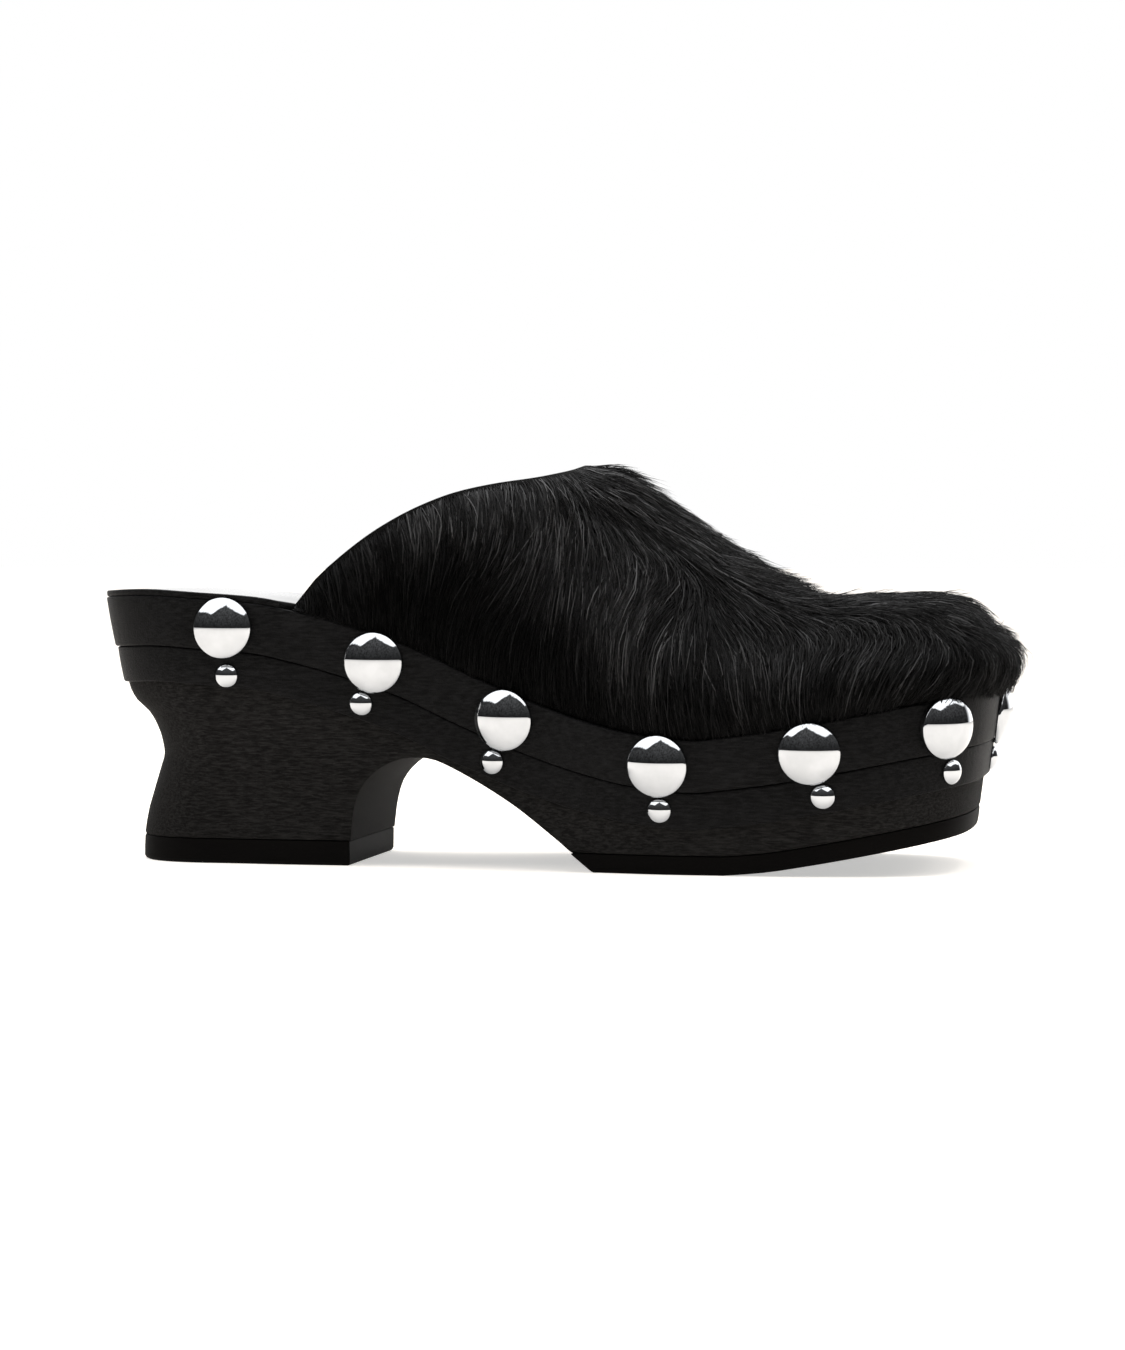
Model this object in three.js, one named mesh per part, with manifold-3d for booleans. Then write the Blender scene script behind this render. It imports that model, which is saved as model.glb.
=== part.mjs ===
// A backless platform clog for the right foot, in millimetres, with +Z up and the toe toward +X.
// The outer side of the foot is toward -Y. A carved wooden sole with its heel is edged with two
// leather bands, shod with rubber, and carries a hollow hair-on upper and rows of dome nails.

import * as THREE from "three";
import { mergeVertices } from "three/addons/utils/BufferGeometryUtils.js";
import Module from "manifold-3d";

const wasm = await Module();
wasm.setup();

// Wooden sole
const SOLE_LENGTH = 253.6;
const BALL_WIDTH = 96;
const HEEL_SEAT = 75.9;
const BALL_SEAT = 36.8;
const TOE_RISE = 13.4;
const ARCH_HEIGHT = 30.6;
const TOE_SPRING = 12.2;
const HEEL_UNDERCUT = 15.3;
const HEEL_BLEND = 62;
const HEEL_END = 36;
const TOE_END = 64;
const TOE_SHIFT = 4;
const SIDE_DRAFT = 0.075;
const TOE_DRAFT = 0.13;
const BACK_DRAFT = 0.19;

// Rubber
const HEEL_TIP_THICKNESS = 7;
const FOREPART_THICKNESS = 5.2;
const TIP_BEVEL = 1;

// Leather bands and insole
const UPPER_BAND_HEIGHT = 13.9;
const UPPER_BAND_THICKNESS = 1.8;
const LOWER_BAND_HEIGHT = 10.1;
const LOWER_BAND_THICKNESS = 1.2;
const INSOLE_THICKNESS = 1.6;
const INSOLE_LIP = 0.7;

// Upper
const INSTEP_HEIGHT = 111.4;
const UPPER_WALL = 2.4;
const MARGIN_WALL = 1.4;
const MARGIN_DEPTH = 8;
const COLLAR_START = 59.4;
const TOE_CROWN_SETBACK = 24;
const RIDGE_SHIFT = 4;

// Hair locks
const LOCK_LENGTH = 30;
const LOCK_WIDTH = 12;
const LOCK_DEPTH = 1.8;
const LOCK_LIFT = 2;
const LOCK_ROOT = 0.8;

// Dome nails
const LARGE_DOME = 17;
const LARGE_DOME_HEIGHT = 3.9;
const SMALL_DOME = 6.8;
const SMALL_DOME_HEIGHT = 2;
const DOME_DROP = 7.6;
const DOME_SKIRT = 1.2;

// Clearance between pieces that meet
const CLEARANCE = 0.3;

// How shapes fade and meet
const END_SHARPNESS = 1.5;
const HEEL_FADE = 1.3;
const ARCH_MIDDLE = 0.43;
const FAN_START = 0.6;
const SWELL_REACH = 1.6;
const RIM_SAMPLE = 0.7;

// How finely curves are cut into flats
const LARGE_DOME_RINGS = 3;
const SMALL_DOME_RINGS = 2;
const BLOCK_LEVELS = [-0.16, 0.3, 0.48, 0.64, 0.82, 1.16];
const HEEL_STEPS = 7;
const WAIST_STEPS = 12;
const TOE_STEPS = 9;
const PROFILE_STEPS = 26;
const MERIDIAN_STEPS = 8;
const LARGE_DOME_SIDES = 12;
const SMALL_DOME_SIDES = 10;
const OVERSHOOT = 12;
const WIDE = 160;

// The top edge of the sole: fall from the heel seat to the ball, then rise to the toe
const TOP_EDGE = [
  { along: 0, fall: 0.018, rise: 0 },
  { along: 0.065, fall: 0, rise: 0 },
  { along: 0.13, fall: 0.024, rise: 0 },
  { along: 0.195, fall: 0.055, rise: 0 },
  { along: 0.235, fall: 0.103, rise: 0 },
  { along: 0.305, fall: 0.22, rise: 0 },
  { along: 0.366, fall: 0.35, rise: 0 },
  { along: 0.446, fall: 0.575, rise: 0 },
  { along: 0.516, fall: 0.757, rise: 0 },
  { along: 0.578, fall: 0.885, rise: 0 },
  { along: 0.627, fall: 0.957, rise: 0 },
  { along: 0.692, fall: 1, rise: 0 },
  { along: 0.765, fall: 1, rise: 0.18 },
  { along: 0.844, fall: 1, rise: 0.45 },
  { along: 0.93, fall: 1, rise: 0.77 },
  { along: 1, fall: 1, rise: 1 },
];

// Half widths of the plan between its round ends, as shares of the ball width
const PLAN = [
  { along: 0.142, outer: 0.343, inner: 0.343 },
  { along: 0.24, outer: 0.362, inner: 0.35 },
  { along: 0.35, outer: 0.368, inner: 0.338 },
  { along: 0.43, outer: 0.384, inner: 0.333 },
  { along: 0.49, outer: 0.41, inner: 0.35 },
  { along: 0.55, outer: 0.443, inner: 0.385 },
  { along: 0.61, outer: 0.477, inner: 0.432 },
  { along: 0.67, outer: 0.502, inner: 0.47 },
  { along: 0.748, outer: 0.511, inner: 0.489 },
];
const HEEL_ROUNDNESS = 2.3;
const OUTER_TOE_ROUNDNESS = 3.8;
const INNER_TOE_ROUNDNESS = 3;

// The hollow back of the heel, by level above the floor
const HEEL_BACK = [
  { level: 0, inset: 0.588 },
  { level: 0.09, inset: 0.6 },
  { level: 0.17, inset: 0.66 },
  { level: 0.265, inset: 0.797 },
  { level: 0.353, inset: 0.935 },
  { level: 0.4, inset: 1 },
  { level: 0.461, inset: 0.948 },
  { level: 0.522, inset: 0.824 },
  { level: 0.564, inset: 0.68 },
  { level: 0.602, inset: 0.46 },
  { level: 0.656, inset: 0.314 },
  { level: 0.99, inset: 0.01 },
];

// The arch between heel and forepart, from the foot of the breast to the rubber's back edge
const ARCH = [
  { along: 0.297, up: -0.2 },
  { along: 0.297, up: 0.1 },
  { along: 0.299, up: 0.3 },
  { along: 0.302, up: 0.5 },
  { along: 0.309, up: 0.69 },
  { along: 0.324, up: 0.845 },
  { along: 0.344, up: 0.952 },
  { along: 0.364, up: 1 },
  { along: 0.387, up: 1 },
  { along: 0.408, up: 0.945 },
  { along: 0.447, up: 0.78 },
  { along: 0.488, up: 0.575 },
  { along: 0.528, up: 0.33 },
  { along: 0.55, up: 0.185 },
  { along: 0.578, up: -0.01 },
  { along: 0.6, up: -0.2 },
];

// The toe's rise off the floor
const SPRING = [
  { along: 0.722, rise: 0 },
  { along: 0.763, rise: 0.075 },
  { along: 0.816, rise: 0.25 },
  { along: 0.9, rise: 0.58 },
  { along: 1, rise: 1 },
];

// Sections of the upper: its ridge as a share of the instep height, roundness and side swell
const SECTIONS = [
  { along: 0.2, ridge: 1.43, roundness: 2, swell: 0 },
  { along: 0.386, ridge: 1.25, roundness: 2, swell: 0 },
  { along: 0.457, ridge: 1.15, roundness: 2, swell: 0.4 },
  { along: 0.516, ridge: 1.065, roundness: 2, swell: 0.7 },
  { along: 0.555, ridge: 1.002, roundness: 2, swell: 1 },
  { along: 0.579, ridge: 0.985, roundness: 2, swell: 1.2 },
  { along: 0.603, ridge: 0.953, roundness: 2, swell: 1.3 },
  { along: 0.635, ridge: 0.901, roundness: 2, swell: 1.5 },
  { along: 0.67, ridge: 0.847, roundness: 2.05, swell: 1.8 },
  { along: 0.725, ridge: 0.76, roundness: 2.1, swell: 2.2 },
  { along: 0.773, ridge: 0.69, roundness: 2.2, swell: 2.4 },
  { along: 0.816, ridge: 0.66, roundness: 2.3, swell: 2.6 },
  { along: 0.87, ridge: 0.668, roundness: 2.5, swell: 3 },
  { along: 1, ridge: 0.664, roundness: 3.2, swell: 4.8 },
];

// The collar seen from the side, as shares of the sole's length and the instep height
const COLLAR = [
  { along: 0.241, up: 0.66 },
  { along: 0.257, up: 0.709 },
  { along: 0.291, up: 0.781 },
  { along: 0.334, up: 0.854 },
  { along: 0.377, up: 0.908 },
  { along: 0.418, up: 0.944 },
  { along: 0.459, up: 0.965 },
  { along: 0.498, up: 0.979 },
  { along: 0.518, up: 0.989 },
  { along: 0.536, up: 1.002 },
  { along: 0.552, up: 1.03 },
];

// Which way the hair lies: degrees forward of straight down, at the sides and added at the ridge
const HAIR_LIE = [
  { along: 0.24, sides: 12, ridge: 0 },
  { along: 0.42, sides: -6, ridge: 10 },
  { along: 0.56, sides: -10, ridge: 50 },
  { along: 0.68, sides: 6, ridge: 70 },
  { along: 0.8, sides: 20, ridge: 50 },
  { along: 1, sides: 6, ridge: 0 },
];

// One hair lock from root to tip, as shares of its full width, lift and depth
const LOCK_SHAPE = [
  { width: 0.9, lift: 0, depth: 0 },
  { width: 1, lift: 0.35, depth: 1 },
  { width: 0.75, lift: 0.8, depth: 0.9 },
  { width: 0.08, lift: 1, depth: 0.1 },
];
const LOCK_FOOT = 0.07;

// Rows of hair locks, by height on the upper, and how many lie along each
const LOCK_ROWS = [
  { height: 0.22, count: 11 },
  { height: 0.46, count: 10 },
  { height: 0.7, count: 8 },
  { height: 0.92, count: 6 },
];

// Pairs of dome nails along each side: the large one's place, how far forward the small one leans
// under it, and any gap between them as a share of the small one's diameter
const DOME_PAIRS = [
  { along: 0.158, lean: 0.04, apart: 0.2 },
  { along: 0.33, lean: -0.34, apart: 0 },
  { along: 0.478, lean: -0.31, apart: 0 },
  { along: 0.652, lean: 0.03, apart: 0 },
  { along: 0.816, lean: 0.3, apart: 0 },
  { along: 0.959, lean: 0.09, apart: 0 },
];

/** A smooth curve through a table's column, without overshoot, held level past its ends. */
function column(rows, key, name, span) {
  const x = rows.map((row) => row[key] * span);
  const y = rows.map((row) => row[name]);
  const slope = x.slice(1).map((end, i) => (y[i + 1] - y[i]) / (end - x[i]));
  const tangent = y.map((value, i) => {
    const before = slope[Math.max(i - 1, 0)];
    const after = slope[Math.min(i, slope.length - 1)];
    return before * after <= 0 ? 0 : (2 * before * after) / (before + after);
  });
  return (at) => {
    const p = THREE.MathUtils.clamp(at, x[0], x[x.length - 1]);
    const i = Math.min(Math.max(x.findIndex((end) => end >= p) - 1, 0), slope.length - 1);
    const width = x[i + 1] - x[i];
    const t = (p - x[i]) / width;
    const rise = tangent[i] * width;
    const run = tangent[i + 1] * width;
    const drop = y[i] - y[i + 1];
    return y[i] + t * (rise + t * (-3 * drop - 2 * rise - run + t * (2 * drop + rise + run)));
  };
}

const alongSole = (rows, name) => column(rows, "along", name, SOLE_LENGTH);
const topFall = alongSole(TOP_EDGE, "fall");
const topRise = alongSole(TOP_EDGE, "rise");
const springRise = alongSole(SPRING, "rise");
const heelInset = column(HEEL_BACK, "level", "inset", HEEL_SEAT);

/** Height of the sole's top edge. */
const topEdge = (x) => HEEL_SEAT - topFall(x) * (HEEL_SEAT - BALL_SEAT) + topRise(x) * TOE_RISE;

/** Height of the rubber's underside ahead of the arch. */
const underside = (x) => springRise(x) * TOE_SPRING;

/** A point on a round end, as shares of its length and half width. */
function roundEnd(angle, roundness) {
  const c = Math.cos(angle);
  const s = Math.sin(angle);
  const reach = 1 / Math.pow(Math.pow(c, roundness) + Math.pow(s, roundness), 1 / roundness);
  return { length: s * reach, width: c * reach };
}

/** Stations from heel to toe: the outer and inner edge of the plan at each, heel and tip left out. */
function planStations() {
  const outer = alongSole(PLAN, "outer");
  const inner = alongSole(PLAN, "inner");
  const stations = [];
  for (let i = 1; i < HEEL_STEPS; i += 1) {
    const end = roundEnd(((HEEL_STEPS - i) / HEEL_STEPS) * (Math.PI / 2), HEEL_ROUNDNESS);
    const x = HEEL_END * (1 - end.length);
    stations.push({
      outer: [x, -outer(0) * BALL_WIDTH * end.width],
      inner: [x, inner(0) * BALL_WIDTH * end.width],
    });
  }
  const toeStart = SOLE_LENGTH - TOE_END;
  for (let i = 0; i <= WAIST_STEPS; i += 1) {
    const x = HEEL_END + ((toeStart - HEEL_END) * i) / WAIST_STEPS;
    stations.push({ outer: [x, -outer(x) * BALL_WIDTH], inner: [x, inner(x) * BALL_WIDTH] });
  }
  for (let i = 1; i < TOE_STEPS; i += 1) {
    const angle = (i / TOE_STEPS) * (Math.PI / 2);
    const out = roundEnd(angle, OUTER_TOE_ROUNDNESS);
    const into = roundEnd(angle, INNER_TOE_ROUNDNESS);
    stations.push({
      outer: [
        toeStart + TOE_END * out.length,
        TOE_SHIFT - (outer(SOLE_LENGTH) * BALL_WIDTH + TOE_SHIFT) * out.width,
      ],
      inner: [
        toeStart + TOE_END * into.length,
        TOE_SHIFT + (inner(SOLE_LENGTH) * BALL_WIDTH - TOE_SHIFT) * into.width,
      ],
    });
  }
  return stations;
}

/** The plan as one loop: heel, outer side, tip, inner side, with each corner's offset direction. */
function planLoop(stations) {
  const places = [
    [0, 0],
    ...stations.map((station) => station.outer),
    [SOLE_LENGTH, TOE_SHIFT],
    ...stations.map((station) => station.inner).reverse(),
  ];
  const count = places.length;
  const normal = (i) => {
    const a = places[(i + count) % count];
    const b = places[(i + 1) % count];
    return new THREE.Vector2(b[1] - a[1], a[0] - b[0]).normalize();
  };
  return places.map(([x, y], i) => {
    const before = normal(i - 1);
    const after = normal(i);
    const mitre = before.clone().add(after).divideScalar(1 + before.dot(after));
    const facing = before.add(after).normalize();
    return {
      x,
      y,
      mitre,
      facing,
      back: Math.pow(Math.max(0, -facing.x), END_SHARPNESS),
      toe: Math.pow(Math.max(0, facing.x), END_SHARPNESS),
    };
  });
}

const stations = planStations();
const loop = planLoop(stations);
const TIP = stations.length + 1;

/** A point of the sole's side: a corner of the plan, a height, an offset outward and the back's inset. */
function sidePoint(corner, z, offset, backInset = BACK_DRAFT * (HEEL_SEAT - z)) {
  const below = topEdge(corner.x) - z;
  const draft = corner.toe * TOE_DRAFT + (1 - corner.back - corner.toe) * SIDE_DRAFT;
  const out = offset - draft * below;
  const forward = backInset * Math.pow(Math.max(0, 1 - corner.x / HEEL_BLEND), HEEL_FADE);
  return new THREE.Vector3(corner.x + corner.mitre.x * out + forward, corner.y + corner.mitre.y * out, z);
}

/** A solid without the pockets that its joined pieces seal: the largest of its closed skins. */
function withoutPockets(body) {
  const mesh = body.getMesh();
  const at = (i) => new THREE.Vector3().fromArray(mesh.vertProperties, 3 * i);
  const owner = Array.from({ length: mesh.vertProperties.length / 3 }, (_, i) => i);
  const root = (i) => {
    let top = i;
    while (owner[top] !== top) top = owner[top];
    owner[i] = top;
    return top;
  };
  const corners = [];
  for (let i = 0; i < mesh.triVerts.length; i += 3) corners.push([...mesh.triVerts.slice(i, i + 3)]);
  corners.forEach(([a, b, c]) => {
    owner[root(b)] = root(a);
    owner[root(c)] = root(a);
  });
  const volume = new Map();
  corners.forEach(([a, b, c]) => {
    const share = at(a).dot(at(b).cross(at(c)));
    volume.set(root(a), (volume.get(root(a)) ?? 0) + share);
  });
  const largest = [...volume.keys()].reduce((a, b) => (volume.get(a) > volume.get(b) ? a : b));
  const kept = corners.filter(([a]) => root(a) === largest).flat();
  return solid(new THREE.BufferGeometry()
    .setAttribute("position", new THREE.BufferAttribute(mesh.vertProperties, 3))
    .setIndex(kept));
}

/** A geometry's solid. */
function solid(geometry) {
  const bare = geometry.clone();
  bare.deleteAttribute("normal");
  bare.deleteAttribute("uv");
  const merged = mergeVertices(bare, 1e-4);
  return new wasm.Manifold(
    new wasm.Mesh({
      numProp: 3,
      vertProperties: new Float32Array(merged.attributes.position.array),
      triVerts: new Uint32Array(merged.index.array),
    }),
  );
}

/** A solid's geometry. */
function geometryOf(body) {
  const mesh = body.getMesh();
  const geometry = new THREE.BufferGeometry();
  geometry.setAttribute("position", new THREE.BufferAttribute(mesh.vertProperties, 3));
  geometry.setIndex(new THREE.BufferAttribute(mesh.triVerts, 1));
  geometry.computeVertexNormals();
  return geometry;
}

/** A geometry from points and triangles. */
function faceted(points, triangles) {
  const geometry = new THREE.BufferGeometry().setFromPoints(points);
  geometry.setIndex(triangles);
  return geometry;
}

/** A solid through stacked rings of equal count, each counterclockwise seen from above. */
function loft(rings) {
  const count = rings[0].length;
  const points = rings.flat();
  const triangles = [];
  for (let level = 0; level + 1 < rings.length; level += 1) {
    for (let i = 0; i < count; i += 1) {
      const a = level * count + i;
      const b = level * count + ((i + 1) % count);
      triangles.push(a, b, b + count, a, b + count, a + count);
    }
  }
  const cap = (ring) => THREE.ShapeUtils.triangulateShape(ring.map((p) => new THREE.Vector2(p.x, p.y)), []);
  const last = (rings.length - 1) * count;
  cap(rings[0]).forEach(([a, b, c]) => triangles.push(a, c, b));
  cap(rings[rings.length - 1]).forEach(([a, b, c]) => triangles.push(last + a, last + b, last + c));
  return solid(faceted(points, triangles));
}

/** One ring of the carved wood, its back hollowed as the heel is. */
const carvedRing = (z, offset) =>
  loop.map((corner) => sidePoint(corner, z, offset, HEEL_UNDERCUT * heelInset(z)));

/** The sole's straight-drafted block at an offset from the wood's side. */
function block(offset) {
  const levels = BLOCK_LEVELS.map((level) => level * HEEL_SEAT);
  return loft(levels.map((z) => loop.map((corner) => sidePoint(corner, z, offset))));
}

/** A side profile, as points of length and height, carried right across the shoe. */
function across(profile) {
  const shape = new THREE.Shape(profile.map(([x, z]) => new THREE.Vector2(x, z)));
  const geometry = new THREE.ExtrudeGeometry(shape, { depth: WIDE, bevelEnabled: false });
  geometry.translate(0, 0, -WIDE / 2);
  geometry.rotateX(Math.PI / 2);
  return solid(geometry);
}

/** The line at a distance square below the top edge; a negative distance lies above it. */
function lineBelow(distance) {
  const points = [];
  for (let i = 0; i <= PROFILE_STEPS; i += 1) {
    const x = -OVERSHOOT + ((SOLE_LENGTH + 2 * OVERSHOOT) * i) / PROFILE_STEPS;
    const reach = 1;
    const slope = (topEdge(x + reach) - topEdge(x - reach)) / (2 * reach);
    const square = Math.hypot(1, slope);
    points.push([x + (distance * slope) / square, topEdge(x) - distance / square]);
  }
  return points;
}

/** The strip between two lines at distances below the top edge. */
const strip = (from, to) => across([...lineBelow(to), ...lineBelow(from).reverse()]);

/** A rectangle in side view. */
const slab = (x0, x1, z0, z1) => across([[x0, z0], [x1, z0], [x1, z1], [x0, z1]]);

/** The space under the arch. */
function archSpace() {
  const curve = new THREE.SplineCurve(
    ARCH.map((row) => new THREE.Vector2(row.along * SOLE_LENGTH, row.up * ARCH_HEIGHT)),
  );
  return across(curve.getPoints(2 * ARCH.length).map((p) => [p.x, p.y]));
}

/** The line of the forepart's underside, raised. */
function raisedUnderside(from, raise) {
  const points = [];
  const span = SOLE_LENGTH + OVERSHOOT - from;
  for (let i = 0; i <= PROFILE_STEPS / 2; i += 1) {
    const x = from + (span * i) / (PROFILE_STEPS / 2);
    points.push([x, underside(x) + raise]);
  }
  return points;
}

const archMiddle = ARCH_MIDDLE * SOLE_LENGTH;
const rebateStart = COLLAR_START - CLEARANCE;

/** Carved wood: block, top edge, arch and the rebate for the upper's margin. */
function woodSole() {
  const profile = across([
    [-OVERSHOOT, HEEL_TIP_THICKNESS + CLEARANCE],
    [archMiddle, HEEL_TIP_THICKNESS + CLEARANCE],
    ...raisedUnderside(archMiddle, FOREPART_THICKNESS + CLEARANCE),
    ...lineBelow(0).reverse(),
  ]);
  const rings = HEEL_BACK.map((row) => carvedRing(row.level * HEEL_SEAT, 0));
  rings.push(loop.map((corner) => sidePoint(corner, HEEL_SEAT + OVERSHOOT, 0)));
  const carved = loft(rings).intersect(profile).subtract(archSpace());
  const inside = block(-(MARGIN_WALL + CLEARANCE));
  const edge = strip(-OVERSHOOT, MARGIN_DEPTH + CLEARANCE)
    .intersect(slab(rebateStart, SOLE_LENGTH + OVERSHOOT, 0, 2 * HEEL_SEAT))
    .subtract(inside);
  return carved.subtract(edge);
}

/** Rubber under the heel, bevelled at the floor. */
function heelTip() {
  const whole = loft([
    carvedRing(0, -TIP_BEVEL),
    carvedRing(TIP_BEVEL, 0),
    carvedRing(HEEL_TIP_THICKNESS, 0),
  ]);
  return whole
    .intersect(slab(-OVERSHOOT, archMiddle, -1, 2 * HEEL_TIP_THICKNESS))
    .subtract(archSpace());
}

/** Rubber under the forepart, curved up at the toe. */
function forepartSole() {
  const profile = across([
    ...raisedUnderside(archMiddle, 0),
    ...raisedUnderside(archMiddle, FOREPART_THICKNESS).reverse(),
  ]);
  return block(0).intersect(profile).subtract(archSpace());
}

/** The height square below the top edge at a length. */
function heightBelow(x, distance) {
  const slope = (topEdge(x + 1) - topEdge(x - 1)) / 2;
  return topEdge(x) - distance * Math.hypot(1, slope);
}

/** A leather band round the sole between two distances below its top edge. */
function band(from, to, thickness) {
  const sections = loop.map((corner) => {
    const top = heightBelow(corner.x, from);
    const bottom = heightBelow(corner.x, to);
    const face = CLEARANCE + thickness;
    return [[bottom, face], [top, face], [top, CLEARANCE], [bottom, CLEARANCE]].map(([z, offset]) =>
      sidePoint(corner, z, offset),
    );
  });
  const sides = sections[0].length;
  const triangles = [];
  sections.forEach((_, i) => {
    for (let j = 0; j < sides; j += 1) {
      const a = i * sides + j;
      const b = i * sides + ((j + 1) % sides);
      const c = ((i + 1) % sections.length) * sides + j;
      const d = ((i + 1) % sections.length) * sides + ((j + 1) % sides);
      triangles.push(a, c, d, a, d, b);
    }
  });
  return solid(faceted(sections.flat(), triangles));
}

/** The leather insole: full width on the open heel, narrower inside the upper. */
function insole() {
  const heel = block(INSOLE_LIP).intersect(
    slab(-OVERSHOOT, rebateStart - CLEARANCE, 0, 2 * HEEL_SEAT),
  );
  const inside = block(-(MARGIN_WALL + 2 * CLEARANCE));
  return heel.add(inside).intersect(strip(-(CLEARANCE + INSOLE_THICKNESS), -CLEARANCE));
}

/** The sections that the upper is laid through, from behind the collar to the toe. */
function upperSections() {
  const ridge = alongSole(SECTIONS, "ridge");
  const roundness = alongSole(SECTIONS, "roundness");
  const swell = alongSole(SECTIONS, "swell");
  const fanStart = FAN_START * SOLE_LENGTH;
  const crown = SOLE_LENGTH - TOE_CROWN_SETBACK;
  const gather = (SOLE_LENGTH - fanStart) / (crown - fanStart) - 1;
  const first = stations.findIndex((station) => station.outer[0] > COLLAR_START - OVERSHOOT);
  const sections = [];
  for (let corner = first + 1; corner <= TIP; corner += 1) {
    const outer = loop[corner];
    const inner = loop[corner === TIP ? TIP : loop.length - corner];
    const x = (outer.x + inner.x) / 2;
    const share = Math.max(0, (x - fanStart) / (SOLE_LENGTH - fanStart));
    const fanned = fanStart + (crown - fanStart) * share * (1 + gather * (1 - share));
    const spineX = x < fanStart ? x : fanned;
    sections.push({
      x,
      outer,
      inner,
      spine: new THREE.Vector3(spineX, RIDGE_SHIFT, ridge(spineX) * INSTEP_HEIGHT),
      roundness: roundness(x),
      swell: swell(x),
    });
  }
  return sections;
}

const sections = upperSections();

/** A point of the upper's outer face on one section, from the top edge at 0 to the ridge at 1. */
function sectionPoint(section, side, height) {
  const corner = section[side];
  const foot = sidePoint(corner, topEdge(corner.x), 0);
  const angle = (height * Math.PI) / 2;
  const out = Math.pow(Math.cos(angle), 2 / section.roundness);
  const up = Math.pow(Math.sin(angle), 2 / section.roundness);
  const point = new THREE.Vector3(
    THREE.MathUtils.lerp(section.spine.x, foot.x, out),
    THREE.MathUtils.lerp(section.spine.y, foot.y, out),
    THREE.MathUtils.lerp(foot.z, section.spine.z, up),
  );
  const fullness = Math.sin(Math.PI * Math.min(1, up * SWELL_REACH)) * out;
  const swell = (section.swell + UPPER_WALL - MARGIN_WALL) * fullness;
  point.x += corner.facing.x * swell;
  point.y += corner.facing.y * swell;
  return point;
}

/** A point of the upper's outer face anywhere between its sections. */
function upperPoint(place, side, height) {
  const at = THREE.MathUtils.clamp(place, 0, 1) * (sections.length - 1);
  const i = Math.min(Math.floor(at), sections.length - 2);
  const h = THREE.MathUtils.clamp(height, 0, 1);
  return sectionPoint(sections[i], side, h).lerp(sectionPoint(sections[i + 1], side, h), at - i);
}

/** The shell of the upper, margin included, before the collar is cut. */
function upperShell() {
  const rowOf = (section, side) => {
    const corner = section[side];
    const top = topEdge(corner.x);
    const margin = [MARGIN_DEPTH, MARGIN_DEPTH / 2].map((depth) => sidePoint(corner, top - depth, 0));
    const heights = Array.from({ length: MERIDIAN_STEPS }, (_, i) => i / MERIDIAN_STEPS);
    return [...margin, ...heights.map((height) => sectionPoint(section, side, height))];
  };
  const rows = sections.map((section) => {
    const outer = rowOf(section, "outer");
    const inner = rowOf(section, "inner");
    return [...outer, section.spine.clone(), ...inner.reverse()];
  });
  const width = rows[0].length;
  const faces = [];
  for (let i = 0; i + 1 < rows.length; i += 1) {
    for (let j = 0; j + 1 < width; j += 1) {
      const a = i * width + j;
      faces.push([a, a + width, a + width + 1], [a, a + width + 1, a + 1]);
    }
  }
  const outerPoints = rows.flat();
  const skin = mergeVertices(faceted(outerPoints, faces.flat()), 1e-4);
  skin.computeVertexNormals();
  const merged = skin.attributes.position;
  const normals = skin.attributes.normal;
  const normalAt = (point) => {
    for (let i = 0; i < merged.count; i += 1) {
      const gap = Math.hypot(merged.getX(i) - point.x, merged.getY(i) - point.y, merged.getZ(i) - point.z);
      if (gap < 1e-3) return new THREE.Vector3().fromBufferAttribute(normals, i);
    }
    return new THREE.Vector3();
  };
  const marginRows = 2;
  const innerPoints = outerPoints.map((point, index) => {
    const j = index % width;
    const row = Math.min(j, width - 1 - j);
    if (row > marginRows) return point.clone().addScaledVector(normalAt(point), -UPPER_WALL);
    const section = sections[Math.floor(index / width)];
    const corner = section[j < width / 2 ? "outer" : "inner"];
    return sidePoint(corner, point.z, -MARGIN_WALL);
  });
  const count = outerPoints.length;
  const triangles = [];
  faces.forEach(([a, b, c]) => triangles.push(a, b, c, count + a, count + c, count + b));
  for (let j = 0; j + 1 < width; j += 1) {
    triangles.push(j, j + 1, count + j + 1, j, count + j + 1, count + j);
  }
  for (let i = 0; i + 1 < rows.length; i += 1) {
    const a = i * width;
    const b = a + width;
    triangles.push(b, a, count + a, b, count + a, count + b);
    const c = a + width - 1;
    const d = b + width - 1;
    triangles.push(c, d, count + d, c, count + d, count + c);
  }
  return solid(faceted([...outerPoints, ...innerPoints], triangles));
}

const lieAtSides = alongSole(HAIR_LIE, "sides");
const lieAtRidge = alongSole(HAIR_LIE, "ridge");
const collarUp = alongSole(COLLAR, "up");

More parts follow.
